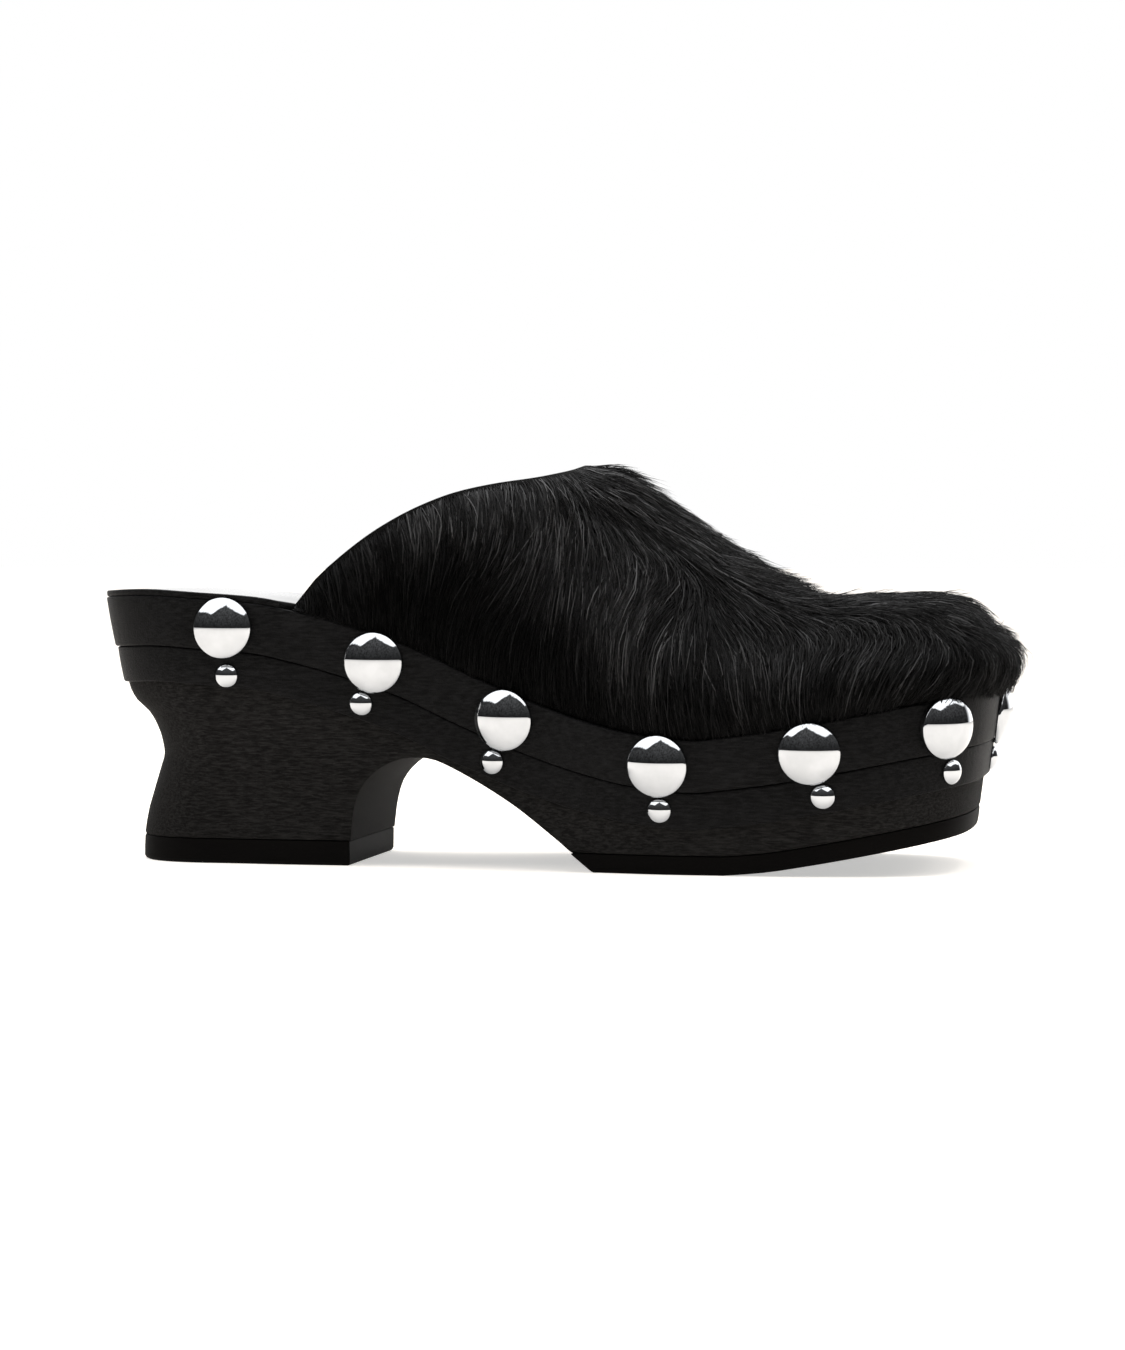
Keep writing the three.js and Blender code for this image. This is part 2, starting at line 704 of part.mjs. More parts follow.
/** One lock of hair: a flat taper that leaves the skin and follows the lie of the hair. */
function hairLock(start, side, from) {
  const nudge = 0.01;
  const step = LOCK_LENGTH / (LOCK_SHAPE.length - 1);
  const points = [];
  let place = start;
  let height = from;
  LOCK_SHAPE.forEach(({ width, lift, depth }) => {
    const at = upperPoint(place, side, height);
    const forward = upperPoint(place + nudge, side, height).sub(upperPoint(place - nudge, side, height));
    const upward = upperPoint(place, side, height + nudge).sub(upperPoint(place, side, height - nudge));
    const forwardRate = forward.length() / (2 * nudge);
    const upwardRate = upward.length() / (2 * nudge);
    const out = forward.clone().cross(upward).normalize();
    if (side === "inner") out.negate();
    const lie = THREE.MathUtils.degToRad(lieAtSides(at.x) + lieAtRidge(at.x) * height * height);
    const along = forward.normalize().multiplyScalar(Math.sin(lie));
    along.addScaledVector(upward.normalize(), -Math.cos(lie));
    const across = along.clone().cross(out).normalize();
    const under = at.clone().addScaledVector(out, lift * LOCK_LIFT - LOCK_ROOT);
    const over = under.clone().addScaledVector(out, LOCK_ROOT + depth * LOCK_DEPTH);
    points.push(
      under.clone().addScaledVector(across, (width * LOCK_WIDTH) / 2),
      over,
      under.clone().addScaledVector(across, (-width * LOCK_WIDTH) / 2),
    );
    place += (step * Math.sin(lie)) / forwardRate;
    height = Math.max(LOCK_FOOT, height - (step * Math.cos(lie)) / upwardRate);
  });
  const triangles = [0, 1, 2];
  for (let i = 0; i + 1 < LOCK_SHAPE.length; i += 1) {
    for (let j = 0; j < 3; j += 1) {
      const a = 3 * i + j;
      const b = 3 * i + ((j + 1) % 3);
      triangles.push(a, b + 3, b, a, a + 3, b + 3);
    }
  }
  const last = 3 * (LOCK_SHAPE.length - 1);
  triangles.push(last, last + 2, last + 1);
  return solid(faceted(points, triangles));
}

/** The hollow upper with its locks, cut to the collar. */
function upper() {
  let body = upperShell();
  for (const side of ["outer", "inner"]) {
    LOCK_ROWS.forEach((row, rowIndex) => {
      for (let i = 0; i < row.count; i += 1) {
        const place = (i + 0.5 + 0.5 * (rowIndex % 2)) / row.count;
        const root = upperPoint(place, side, row.height);
        const behindPeak = root.x < COLLAR[COLLAR.length - 1].along * SOLE_LENGTH;
        const cutAway = behindPeak && root.z > collarUp(root.x) * INSTEP_HEIGHT - LOCK_DEPTH;
        if (place < 1 && !cutAway) {
          body = body.add(hairLock(place, side, row.height));
        }
      }
    });
  }
  const curve = new THREE.SplineCurve(
    COLLAR.map((row) => new THREE.Vector2(row.along * SOLE_LENGTH, row.up * INSTEP_HEIGHT)),
  );
  const high = 2 * INSTEP_HEIGHT;
  const edge = curve.getPoints(2 * COLLAR.length).map((p) => [p.x, p.y]);
  const peak = edge[edge.length - 1];
  const cutter = across([
    [-OVERSHOOT, 0],
    [COLLAR_START, 0],
    [COLLAR_START, topEdge(COLLAR_START)],
    ...edge,
    [peak[0], high],
    [-OVERSHOOT, high],
  ]);
  return withoutPockets(body.subtract(cutter));
}

/** A point of the sole's side at a length and height, between the plan's corners. */
function sideAt(x, z, side, offset) {
  const corners = side === "inner" ? [...loop.slice(TIP), loop[0]].reverse() : loop.slice(0, TIP + 1);
  const points = corners.map((corner) => sidePoint(corner, z, offset));
  const i = Math.max(1, points.findIndex((point) => point.x >= x));
  return points[i - 1].clone().lerp(points[i], (x - points[i - 1].x) / (points[i].x - points[i - 1].x));
}

/** Where a dome sits on a side of the sole: clear of all that lies under its rim. */
function sideSeat(x, z, side, offset, radius) {
  const reach = RIM_SAMPLE * radius;
  const seat = sideAt(x, z, side, offset);
  const rim = [[-1, 0], [1, 0], [0, -1], [0, 1]].map(([u, w]) =>
    sideAt(x + u * reach, z + w * reach, side, offset),
  );
  const facing = rim[1].clone().sub(rim[0]).cross(rim[3].clone().sub(rim[2])).normalize();
  if (side === "inner") facing.negate();
  const highest = Math.max(0, ...rim.map((point) => point.sub(seat).dot(facing)));
  return { seat: seat.addScaledVector(facing, highest + CLEARANCE), facing };
}

/** Where a dome sits on the toe's tip. */
function tipSeat(z, offset) {
  const facing = new THREE.Vector3(1, 0, -TOE_DRAFT).normalize();
  return { seat: sidePoint(loop[TIP], z, offset).addScaledVector(facing, CLEARANCE), facing };
}

/** A dome nail's head with a short skirt behind its rim. */
function domeHead({ seat, facing }, { diameter, height, sides, rings }) {
  const radius = diameter / 2;
  const sphere = (radius * radius + height * height) / (2 * height);
  const rim = Math.asin(radius / sphere);
  const profile = [new THREE.Vector2(0, -DOME_SKIRT), new THREE.Vector2(radius, -DOME_SKIRT)];
  for (let i = 0; i <= rings; i += 1) {
    const angle = rim * (1 - i / rings);
    const reach = i === rings ? 0 : sphere * Math.sin(angle);
    profile.push(new THREE.Vector2(reach, sphere * Math.cos(angle) - sphere + height));
  }
  const head = new THREE.LatheGeometry(profile, sides);
  const turn = new THREE.Quaternion().setFromUnitVectors(new THREE.Vector3(0, 1, 0), facing);
  head.applyQuaternion(turn);
  head.translate(seat.x, seat.y, seat.z);
  return solid(head);
}

const largeSize = {
  diameter: LARGE_DOME,
  height: LARGE_DOME_HEIGHT,
  sides: LARGE_DOME_SIDES,
  rings: LARGE_DOME_RINGS,
};
const smallSize = {
  diameter: SMALL_DOME,
  height: SMALL_DOME_HEIGHT,
  sides: SMALL_DOME_SIDES,
  rings: SMALL_DOME_RINGS,
};

/** Both heads of every pair, from the heel to the toe on the outer side, then back on the inner. */
function domePairs() {
  const upperFace = CLEARANCE + UPPER_BAND_THICKNESS;
  const lowerFace = CLEARANCE + LOWER_BAND_THICKNESS;
  const between = (LARGE_DOME + SMALL_DOME) / 2 + CLEARANCE;
  const ground = [upperFace, lowerFace].map((face) => block(face + CLEARANCE));
  const places = [
    ...DOME_PAIRS.map((pair) => ({ ...pair, side: "outer" })),
    { along: 1, lean: 0, apart: 0, side: "tip" },
    ...DOME_PAIRS.map((pair) => ({ ...pair, side: "inner" })).reverse(),
  ];
  return places.map(({ along, lean, apart, side }) => {
    const x = along * SOLE_LENGTH;
    const z = heightBelow(x, DOME_DROP);
    const down = (between + apart * SMALL_DOME) / Math.hypot(1, lean);
    const large = side === "tip" ? tipSeat(z, upperFace) : sideSeat(x, z, side, upperFace, LARGE_DOME / 2);
    const small =
      side === "tip"
        ? tipSeat(z - down, lowerFace)
        : sideSeat(x + lean * down, z - down, side, lowerFace, SMALL_DOME / 2);
    return {
      large: domeHead(large, largeSize).subtract(ground[0]),
      small: domeHead(small, smallSize).subtract(ground[1]),
    };
  });
}

const finishes = {
  wood: { color: 0x1d1b1a, roughness: 0.55, metalness: 0 },
  rubber: { color: 0x0d0d0d, roughness: 0.8, metalness: 0 },
  leather: { color: 0x1a1a1b, roughness: 0.5, metalness: 0 },
  hair: { color: 0x0a0a0a, roughness: 0.6, metalness: 0 },
  chrome: { color: 0xd8dadc, roughness: 0.08, metalness: 1 },
};

const shoe = new THREE.Group();

/** Adds a named piece to the shoe. */
function addPiece(name, body, finish) {
  const mesh = new THREE.Mesh(geometryOf(body), new THREE.MeshStandardMaterial(finish));
  mesh.name = name;
  shoe.add(mesh);
}

addPiece("wood_sole", woodSole(), finishes.wood);
addPiece("heel_tip", heelTip(), finishes.rubber);
addPiece("forepart_sole", forepartSole(), finishes.rubber);
addPiece("upper_band", band(0, UPPER_BAND_HEIGHT, UPPER_BAND_THICKNESS), finishes.leather);
const lowerTop = UPPER_BAND_HEIGHT + CLEARANCE;
addPiece("lower_band", band(lowerTop, lowerTop + LOWER_BAND_HEIGHT, LOWER_BAND_THICKNESS), finishes.leather);
addPiece("insole", insole(), finishes.leather);
addPiece("upper", upper(), finishes.hair);
domePairs().forEach((pair, index) => {
  const number = String(index + 1).padStart(2, "0");
  addPiece(`large_dome_${number}`, pair.large, finishes.chrome);
  addPiece(`small_dome_${number}`, pair.small, finishes.chrome);
});

// The origin is under the middle of the shoe, on the floor
const box = new THREE.Box3().setFromObject(shoe);
shoe.position.set(-(box.min.x + box.max.x) / 2, -(box.min.y + box.max.y) / 2, -box.min.z);

export default shoe;
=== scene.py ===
"""A backless platform clog for the right foot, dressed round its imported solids.

Sizes are in millimetres, heel back at x 0 and the floor at z 0, and turn to metres as each mesh is
finished. The outer side of the foot is toward -Y, the toe toward +X.
"""

import logging
import math
from dataclasses import dataclass, field
from enum import Enum
from typing import Callable, Sequence

import bmesh
import bpy
import numpy as np
from bmesh.types import BMesh, BMVert
from bpy.types import Material, Node, NodeSocket, NodeTree, Object
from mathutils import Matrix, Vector
from mathutils.bvhtree import BVHTree
from mathutils.kdtree import KDTree

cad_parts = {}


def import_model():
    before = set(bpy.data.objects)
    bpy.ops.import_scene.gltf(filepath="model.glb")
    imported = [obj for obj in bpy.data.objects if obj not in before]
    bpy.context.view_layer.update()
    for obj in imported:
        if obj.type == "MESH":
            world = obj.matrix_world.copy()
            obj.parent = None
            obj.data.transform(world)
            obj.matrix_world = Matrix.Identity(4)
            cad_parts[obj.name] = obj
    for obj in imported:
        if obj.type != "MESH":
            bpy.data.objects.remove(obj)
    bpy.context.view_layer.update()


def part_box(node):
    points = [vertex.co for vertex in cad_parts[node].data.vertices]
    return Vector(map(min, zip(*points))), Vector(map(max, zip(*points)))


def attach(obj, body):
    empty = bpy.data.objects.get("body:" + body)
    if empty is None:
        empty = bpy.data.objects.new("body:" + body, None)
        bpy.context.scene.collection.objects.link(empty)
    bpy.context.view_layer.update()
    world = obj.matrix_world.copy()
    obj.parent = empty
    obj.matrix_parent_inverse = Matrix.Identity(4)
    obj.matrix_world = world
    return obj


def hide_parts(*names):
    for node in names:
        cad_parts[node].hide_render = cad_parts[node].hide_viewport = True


LOG = logging.getLogger("clog")
MM = 0.001
SEED = 20
SETTLING = 8
TINY = 1e-6
Array = np.ndarray


class Side(Enum):
    """The sides of the right foot, by the sign of y."""

    OUTER = -1
    INNER = 1


class Curve:
    """A smooth curve through a short table, without overshoot, held level past its ends."""

    def __init__(self, at: Sequence[float], value: Sequence[float], span: float = 1.0) -> None:
        """Prepares the curve.

        Args:
            at: Places along the table, rising.
            value: The value at each place.
            span: Length that the places are shares of.
        """
        self.x = np.asarray(at, float) * span
        self.y = np.asarray(value, float)
        slope = np.diff(self.y) / np.diff(self.x)
        before = np.concatenate([slope[:1], slope])
        after = np.concatenate([slope, slope[-1:]])
        product = before * after
        total = np.where(product > 0, before + after, 1.0)
        self.tangent = np.where(product > 0, 2 * product / total, 0.0)

    def __call__(self, at: Array | float) -> Array:
        """Value of the curve at one place or many."""
        p = np.clip(at, self.x[0], self.x[-1])
        i = np.clip(np.searchsorted(self.x, p) - 1, 0, len(self.x) - 2)
        width = self.x[i + 1] - self.x[i]
        t = (p - self.x[i]) / width
        rise, run = self.tangent[i] * width, self.tangent[i + 1] * width
        drop = self.y[i] - self.y[i + 1]
        return self.y[i] + t * (rise + t * (-3 * drop - 2 * rise - run + t * (2 * drop + rise + run)))


def spline(points: Array, per_span: int) -> Array:
    """Points along the smooth line through a few given ones.

    Args:
        points: The points it passes, one a row.
        per_span: Steps between each two of them.

    Returns:
        The line's points, one a row.
    """
    ends = np.concatenate([points[:1], points, points[-1:]])
    rows = []
    for i in range(len(points) - 1):
        a, b, c, d = ends[i:i + 4]
        t = np.linspace(0, 1, per_span, endpoint=False)[:, None]
        rows.append(b + 0.5 * t * (c - a + t * (2 * a - 5 * b + 4 * c - d + t * (3 * (b - c) + d - a))))
    return np.concatenate([*rows, points[-1:]])


def fade(value: Array | float, start: float, width: float) -> Array:
    """How far a value has come from a start over a width, from 0 to 1."""
    return np.clip((value - start) / width, 0, 1)


def unit(vectors: Array) -> Array:
    """The vectors at length 1."""
    return vectors / np.maximum(np.linalg.norm(vectors, axis=-1), TINY)[..., None]


@dataclass
class Last:
    """The form that every piece is cut to: the sole's plan, edges and drafts."""

    length: float = 253.6
    ball_width: float = 96.0
    heel_seat: float = 75.9
    ball_seat: float = 36.8
    toe_rise: float = 13.4
    arch_height: float = 30.6
    toe_spring: float = 12.2
    heel_undercut: float = 15.3
    heel_blend: float = 62.0
    heel_end: float = 36.0
    toe_end: float = 64.0
    toe_shift: float = 4.0
    side_draft: float = 0.075
    toe_draft: float = 0.13
    back_draft: float = 0.19
    tip_thickness: float = 7.0
    rubber_thickness: float = 5.2
    clearance: float = 0.3
    glue_line: float = 0.1
    heel_roundness: float = 2.3
    outer_toe_roundness: float = 3.8
    inner_toe_roundness: float = 3.0
    end_sharpness: float = 1.5
    heel_fade: float = 1.3
    arch_middle: float = 0.43
    arch_per_span: int = 12
    heel_steps: int = 18
    waist_steps: int = 46
    arch_steps: int = 44
    toe_steps: int = 24
    origin: Array = field(init=False)

    def __post_init__(self) -> None:
        """Works out the curves and the plan's loop of corners."""
        span = self.length
        fall_at = (0, 0.065, 0.13, 0.195, 0.235, 0.305, 0.366, 0.446, 0.516, 0.578, 0.627, 0.692, 0.765)
        fall = (0.018, 0, 0.024, 0.055, 0.103, 0.22, 0.35, 0.575, 0.757, 0.885, 0.957, 1, 1)
        self.fall = Curve(fall_at, fall, span)
        self.rise = Curve((0.692, 0.765, 0.844, 0.93, 1), (0, 0.18, 0.45, 0.77, 1), span)
        self.spring = Curve((0.722, 0.763, 0.816, 0.9, 1), (0, 0.075, 0.25, 0.58, 1), span)
        level = (0, 0.09, 0.17, 0.265, 0.353, 0.4, 0.461, 0.522, 0.564, 0.602, 0.656, 0.99)
        inset = (0.588, 0.6, 0.66, 0.797, 0.935, 1, 0.948, 0.824, 0.68, 0.46, 0.314, 0.01)
        self.hollow = Curve(level, inset, self.heel_seat)
        at = (0.297, 0.299, 0.302, 0.309, 0.324, 0.344, 0.364, 0.387, 0.408, 0.447, 0.488, 0.528, 0.55, 0.578)
        up = (0.1, 0.3, 0.5, 0.69, 0.845, 0.952, 1, 1, 0.945, 0.78, 0.575, 0.33, 0.185, -0.01)
        line = np.stack([np.array(at) * span, np.array(up) * self.arch_height], 1)
        self.arch = spline(line, self.arch_per_span)
        plan_at = (0.142, 0.24, 0.35, 0.43, 0.49, 0.55, 0.61, 0.67, 0.748)
        outer = Curve(plan_at, (0.343, 0.362, 0.368, 0.384, 0.41, 0.443, 0.477, 0.502, 0.511), span)
        inner = Curve(plan_at, (0.343, 0.35, 0.338, 0.333, 0.35, 0.385, 0.432, 0.47, 0.489), span)
        self._lay_plan(outer, inner)

    def _lay_plan(self, outer: Curve, inner: Curve) -> None:
        """Lays the plan's corners: heel back, outer side, toe tip, inner side.

        Args:
            outer: Half width of the outer side, as a share of the ball width.
            inner: Half width of the inner side.
        """
        def round_end(angle: Array, roundness: float) -> tuple[Array, Array]:
            """Shares of length and half width on a round end."""
            c, s = np.cos(angle), np.sin(angle)
            reach = (c ** roundness + s ** roundness) ** (-1 / roundness)
            return s * reach, c * reach

        quarter = math.pi / 2
        width = self.ball_width
        angles = quarter * (1 - np.arange(1, self.heel_steps) / self.heel_steps)
        long, wide = round_end(angles, self.heel_roundness)
        heel_x = self.heel_end * (1 - long)
        toe_start = self.length - self.toe_end
        steps = np.linspace(0, 1, self.arch_steps)
        gone = np.concatenate([[0], np.cumsum(np.hypot(*np.diff(self.arch, axis=0).T))])
        arch_x = np.interp(steps * gone[-1], gone, self.arch[:, 0])
        waist = np.linspace(self.heel_end, toe_start, self.waist_steps)
        waist_x = np.unique(np.round(np.concatenate([waist, arch_x]), 2))
        angles = quarter * np.arange(1, self.toe_steps) / self.toe_steps
        out_long, out_wide = round_end(angles, self.outer_toe_roundness)
        in_long, in_wide = round_end(angles, self.inner_toe_roundness)
        shift = self.toe_shift
        outer_x = np.concatenate([heel_x, waist_x, toe_start + self.toe_end * out_long])
        inner_x = np.concatenate([heel_x, waist_x, toe_start + self.toe_end * in_long])
        outer_toe = shift - (outer(self.length) * width + shift) * out_wide
        inner_toe = shift + (inner(self.length) * width - shift) * in_wide
        outer_y = np.concatenate([-outer(0) * width * wide, -outer(waist_x) * width, outer_toe])
        inner_y = np.concatenate([inner(0) * width * wide, inner(waist_x) * width, inner_toe])
        self.tip = len(outer_x) + 1
        self.x = np.concatenate([[0], outer_x, [self.length], inner_x[::-1]])
        self.y = np.concatenate([[0], outer_y, [shift], inner_y[::-1]])
        edge = np.stack([np.roll(self.y, -1) - self.y, self.x - np.roll(self.x, -1)], 1)
        after = edge / np.linalg.norm(edge, axis=1)[:, None]
        before = np.roll(after, 1, axis=0)
        self.mitre = (before + after) / (1 + (before * after).sum(1))[:, None]
        facing = before + after
        self.facing = facing / np.linalg.norm(facing, axis=1)[:, None]
        back = np.maximum(0, -self.facing[:, 0]) ** self.end_sharpness
        toe = np.maximum(0, self.facing[:, 0]) ** self.end_sharpness
        self.draft = toe * self.toe_draft + (1 - back - toe) * self.side_draft
        self.top = self.top_edge(self.x)
        self.steep = np.hypot(1, (self.top_edge(self.x + 1) - self.top_edge(self.x - 1)) / 2)

    def top_edge(self, x: Array | float) -> Array:
        """Height of the sole's top edge."""
        seat = self.heel_seat - self.fall(x) * (self.heel_seat - self.ball_seat)
        return seat + self.rise(x) * self.toe_rise

    def underside(self, x: Array | float) -> Array:
        """Height of the forepart rubber's underside."""
        return self.spring(x) * self.toe_spring

    def wood_bottom(self, x: Array) -> Array:
        """Height of the wood's underside: heel seat on its rubber, arch and forepart."""
        middle = self.arch_middle * self.length
        heel = np.full_like(x, self.tip_thickness + self.glue_line)
        fore = self.underside(x) + self.rubber_thickness + self.glue_line
        arch = np.interp(x, self.arch[:, 0], self.arch[:, 1], left=-1, right=-1)
        return np.maximum(np.where(x < middle, heel, fore), arch)

    def ring(self, z: Array | float, offset: Array | float, carved: bool = False) -> Array:
        """The sole's outline at a height.

        Args:
            z: Height, one or one for each corner.
            offset: Distance out from the wood's side.
            carved: True where the heel's hollow back is followed.

        Returns:
            A point for each corner of the plan.
        """
        z = np.broadcast_to(np.asarray(z, float), self.x.shape)
        out = offset - self.draft * (self.top - z)
        inset = self.heel_undercut * self.hollow(z) if carved else self.back_draft * (self.heel_seat - z)
        forward = inset * np.maximum(0, 1 - self.x / self.heel_blend) ** self.heel_fade
        return np.stack([self.x + self.mitre[:, 0] * out + forward, self.y + self.mitre[:, 1] * out, z], 1)

    def below(self, distance: float, offset: Array | float) -> Array:
        """The ring at a distance square below the top edge, or above it where negative."""
        return self.ring(self.top - distance * self.steep, offset)

    def settled(self, height: Callable[[Array], Array], offset: Array | float) -> Array:
        """A carved ring whose height follows its own length.

        Args:
            height: Height by length, for each corner.
            offset: Distance out from the wood's side.

        Returns:
            A point for each corner of the plan.
        """
        points = self.ring(height(self.x), offset, True)
        for _ in range(SETTLING):
            points = self.ring(height(points[:, 0]), offset, True)
        return points

    def side_at(self, x: float, z: float, side: Side, offset: float) -> Vector:
        """A point of the sole's side at a length and height."""
        ring = self.ring(z, offset)
        outer = ring[:self.tip + 1]
        inner = np.concatenate([ring[self.tip:], ring[:1]])[::-1]
        line = outer if side is Side.OUTER else inner
        return Vector((x, float(np.interp(x, line[:, 0], line[:, 1])), z))

    def place(self) -> None:
        """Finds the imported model's origin from its upper band and toe dome."""
        band_tip = self.length + self.clearance + EdgeBands.upper_thickness
        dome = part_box("large_dome_07")
        x = band_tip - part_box("upper_band")[1].x / MM
        y = self.toe_shift - (dome[0].y + dome[1].y) / 2 / MM
        self.origin = np.array([x, y, 0.0])


def add_ring(bm: BMesh, points: Array) -> list[BMVert]:
    """Adds a closed ring of edges and lays it through the points.

    Args:
        bm: Mesh under way.
        points: A point for each vertex.

    Returns:
        The ring's vertices in order.
    """
    made = bmesh.ops.create_circle(bm, cap_ends=False, radius=1, segments=len(points))["verts"]
    for vert, point in zip(made, points):
        vert.co = point
    return made


def loft(bm: BMesh, rings: Sequence[Array], closed: bool = False) -> list[list[BMVert]]:
    """Bridges rings of equal count one to the next.

    Args:
        bm: Mesh under way.
        rings: Points of each ring.
        closed: True if the last ring joins the first.

    Returns:
        The vertices of each ring.
    """
    made = [add_ring(bm, ring) for ring in rings]
    pairs = list(zip(made, made[1:]))
    if closed:
        pairs.append((made[-1], made[0]))
    for a, b in pairs:
        for i in range(len(a)):
            j = (i + 1) % len(a)
            bm.faces.new((a[i], a[j], b[j], b[i]))
    return made


def ladder(bm: BMesh, ring: list[BMVert], first: int, tip: int, last: int) -> None:
    """Closes a ring with flats right across it, from one side to the other.

    Args:
        bm: Mesh under way.
        ring: The ring's vertices.
        first: Index of the first corner on the outer side.
        tip: Index of the corner at the toe.
        last: Index of the last corner on the inner side, level with the first.
    """
    for k in range(tip - first):
        a, b = ring[first + k], ring[first + k + 1]
        c, d = ring[(last - k - 1) % len(ring)], ring[(last - k) % len(ring)]
        corners = list(dict.fromkeys((a, b, c, d)))
        if len(corners) > 2:
            bm.faces.new(corners)


def link(name: str, data: bpy.types.ID) -> Object:
    """Adds an object with its data to the scene."""
    obj = bpy.data.objects.new(name, data)
    bpy.context.scene.collection.objects.link(obj)
    return obj


class Workshop:
    """Turns meshes in millimetres into finished pieces that ride on the shoe."""

    def __init__(self, last: Last) -> None:
        """Keeps the last that the pieces are placed by."""
        self.last = last

    def piece(
        self,
        name: str,
        bm: BMesh,
        materials: Sequence[Material],
        slot: str,
        stands_for: Sequence[str] = (),
        crease: float = 35.0,
    ) -> Object:
        """slot: A material slot name; not used.

        Args:
            name: The piece's name.
            bm: Its mesh, in millimetres in the last's frame.
            materials: Its materials, in slot order.
            slot: The record's material slot.
            stands_for: CAD nodes that it replaces.
            crease: Edges sharper than this stay sharp, in degrees.

        Returns:
            The piece's object.
        """
        bmesh.ops.translate(bm, verts=bm.verts, vec=-Vector(self.last.origin))
        bmesh.ops.scale(bm, verts=bm.verts, vec=(MM, MM, MM))
        bmesh.ops.recalc_face_normals(bm, faces=bm.faces)
        mesh = bpy.data.meshes.new(name)
        bm.to_mesh(mesh)
        bm.free()
        mesh.polygons.foreach_set("use_smooth", [True] * len(mesh.polygons))
        mesh.set_sharp_from_angle(angle=math.radians(crease))
        return self.adopt(name, mesh, materials, slot, stands_for)

    def adopt(
        self,
        name: str,
        mesh: bpy.types.Mesh,
        materials: Sequence[Material],
        slot: str,
        stands_for: Sequence[str] = (),
    ) -> Object:
        """Gives a finished mesh its object, materials and body."""
        obj = link(name, mesh)
        for material in materials:
            mesh.materials.append(material)
        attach(obj, "root")
        if stands_for:
            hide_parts(*stands_for)
        LOG.info("%s: %d faces", name, len(mesh.polygons))
        return obj


class Tree:
    """Adds and joins the nodes of one shader tree."""

    def __init__(self, tree: NodeTree) -> None:
        """Keeps the tree."""
        self.tree = tree

    def add(self, kind: str, **values: object) -> Node:
        """Adds a node.

        Args:
            kind: Node type, without its ShaderNode prefix.
            values: Properties by name, or input values with spaces written as underscores.

        Returns:
            The node.
        """
        node = self.tree.nodes.new("ShaderNode" + kind)
        for name, value in values.items():
            if hasattr(node, name):
                setattr(node, name, value)
            else:
                node.inputs[name.replace("_", " ")].default_value = value
        return node

    def join(self, out: NodeSocket, into: NodeSocket) -> None:
        """Links two sockets."""
        self.tree.links.new(out, into)

    def feed(self, out: NodeSocket, *nodes: Node) -> None:
        """Links a socket to the Vector of each node."""
        for node in nodes:
            self.join(out, node.inputs["Vector"])

    def maths(self, operation: str, a: object, b: object = 0.0) -> NodeSocket:
        """The result of a sum of two values or sockets."""
        node = self.add("Math", operation=operation)
        for socket, value in zip(node.inputs, (a, b)):
            if isinstance(value, NodeSocket):
                self.join(value, socket)
            else:
                socket.default_value = value
        return node.outputs[0]

    def between(self, value: NodeSocket, low: float, high: float, start: float, end: float) -> NodeSocket:
        """A value's range from low to high, laid on start to end."""
        node = self.add("MapRange", From_Min=low, From_Max=high, To_Min=start, To_Max=end)
        self.join(value, node.inputs["Value"])
        return node.outputs["Result"]


def make_group(name: str, inputs: dict[str, float], output: str) -> tuple[Tree, Node, NodeSocket]:
    """Starts a shader node group that reads a Vector and the named values.

    Args:
        name: The group's name.
        inputs: Value inputs and their defaults.
        output: Its one output, a value.

    Returns:
        The group's tree helper, its input node and the socket that its output is joined to.
    """
    group = bpy.data.node_groups.new(name, "ShaderNodeTree")
    group.interface.new_socket("Vector", in_out="INPUT", socket_type="NodeSocketVector")
    for key, value in inputs.items():
        socket = group.interface.new_socket(key, in_out="INPUT", socket_type="NodeSocketFloat")
        socket.default_value = value
    group.interface.new_socket(output, in_out="OUTPUT", socket_type="NodeSocketFloat")
    source, out = group.nodes.new("NodeGroupInput"), group.nodes.new("NodeGroupOutput")
    return Tree(group), source, out.inputs[output]


def start_material(name: str, **values: object) -> tuple[Material, Tree, Node]:
    """Starts a material.

    Args:
        name: Its name.
        values: The shader's input values, with spaces written as underscores.

    Returns:
        The material, its tree helper and its shader.
    """
    material = bpy.data.materials.new(name)
    material.use_nodes = True
    shader = material.node_tree.nodes["Principled BSDF"]
    for key, value in values.items():
        shader.inputs[key.replace("_", " ")].default_value = value
    return material, Tree(material.node_tree), shader


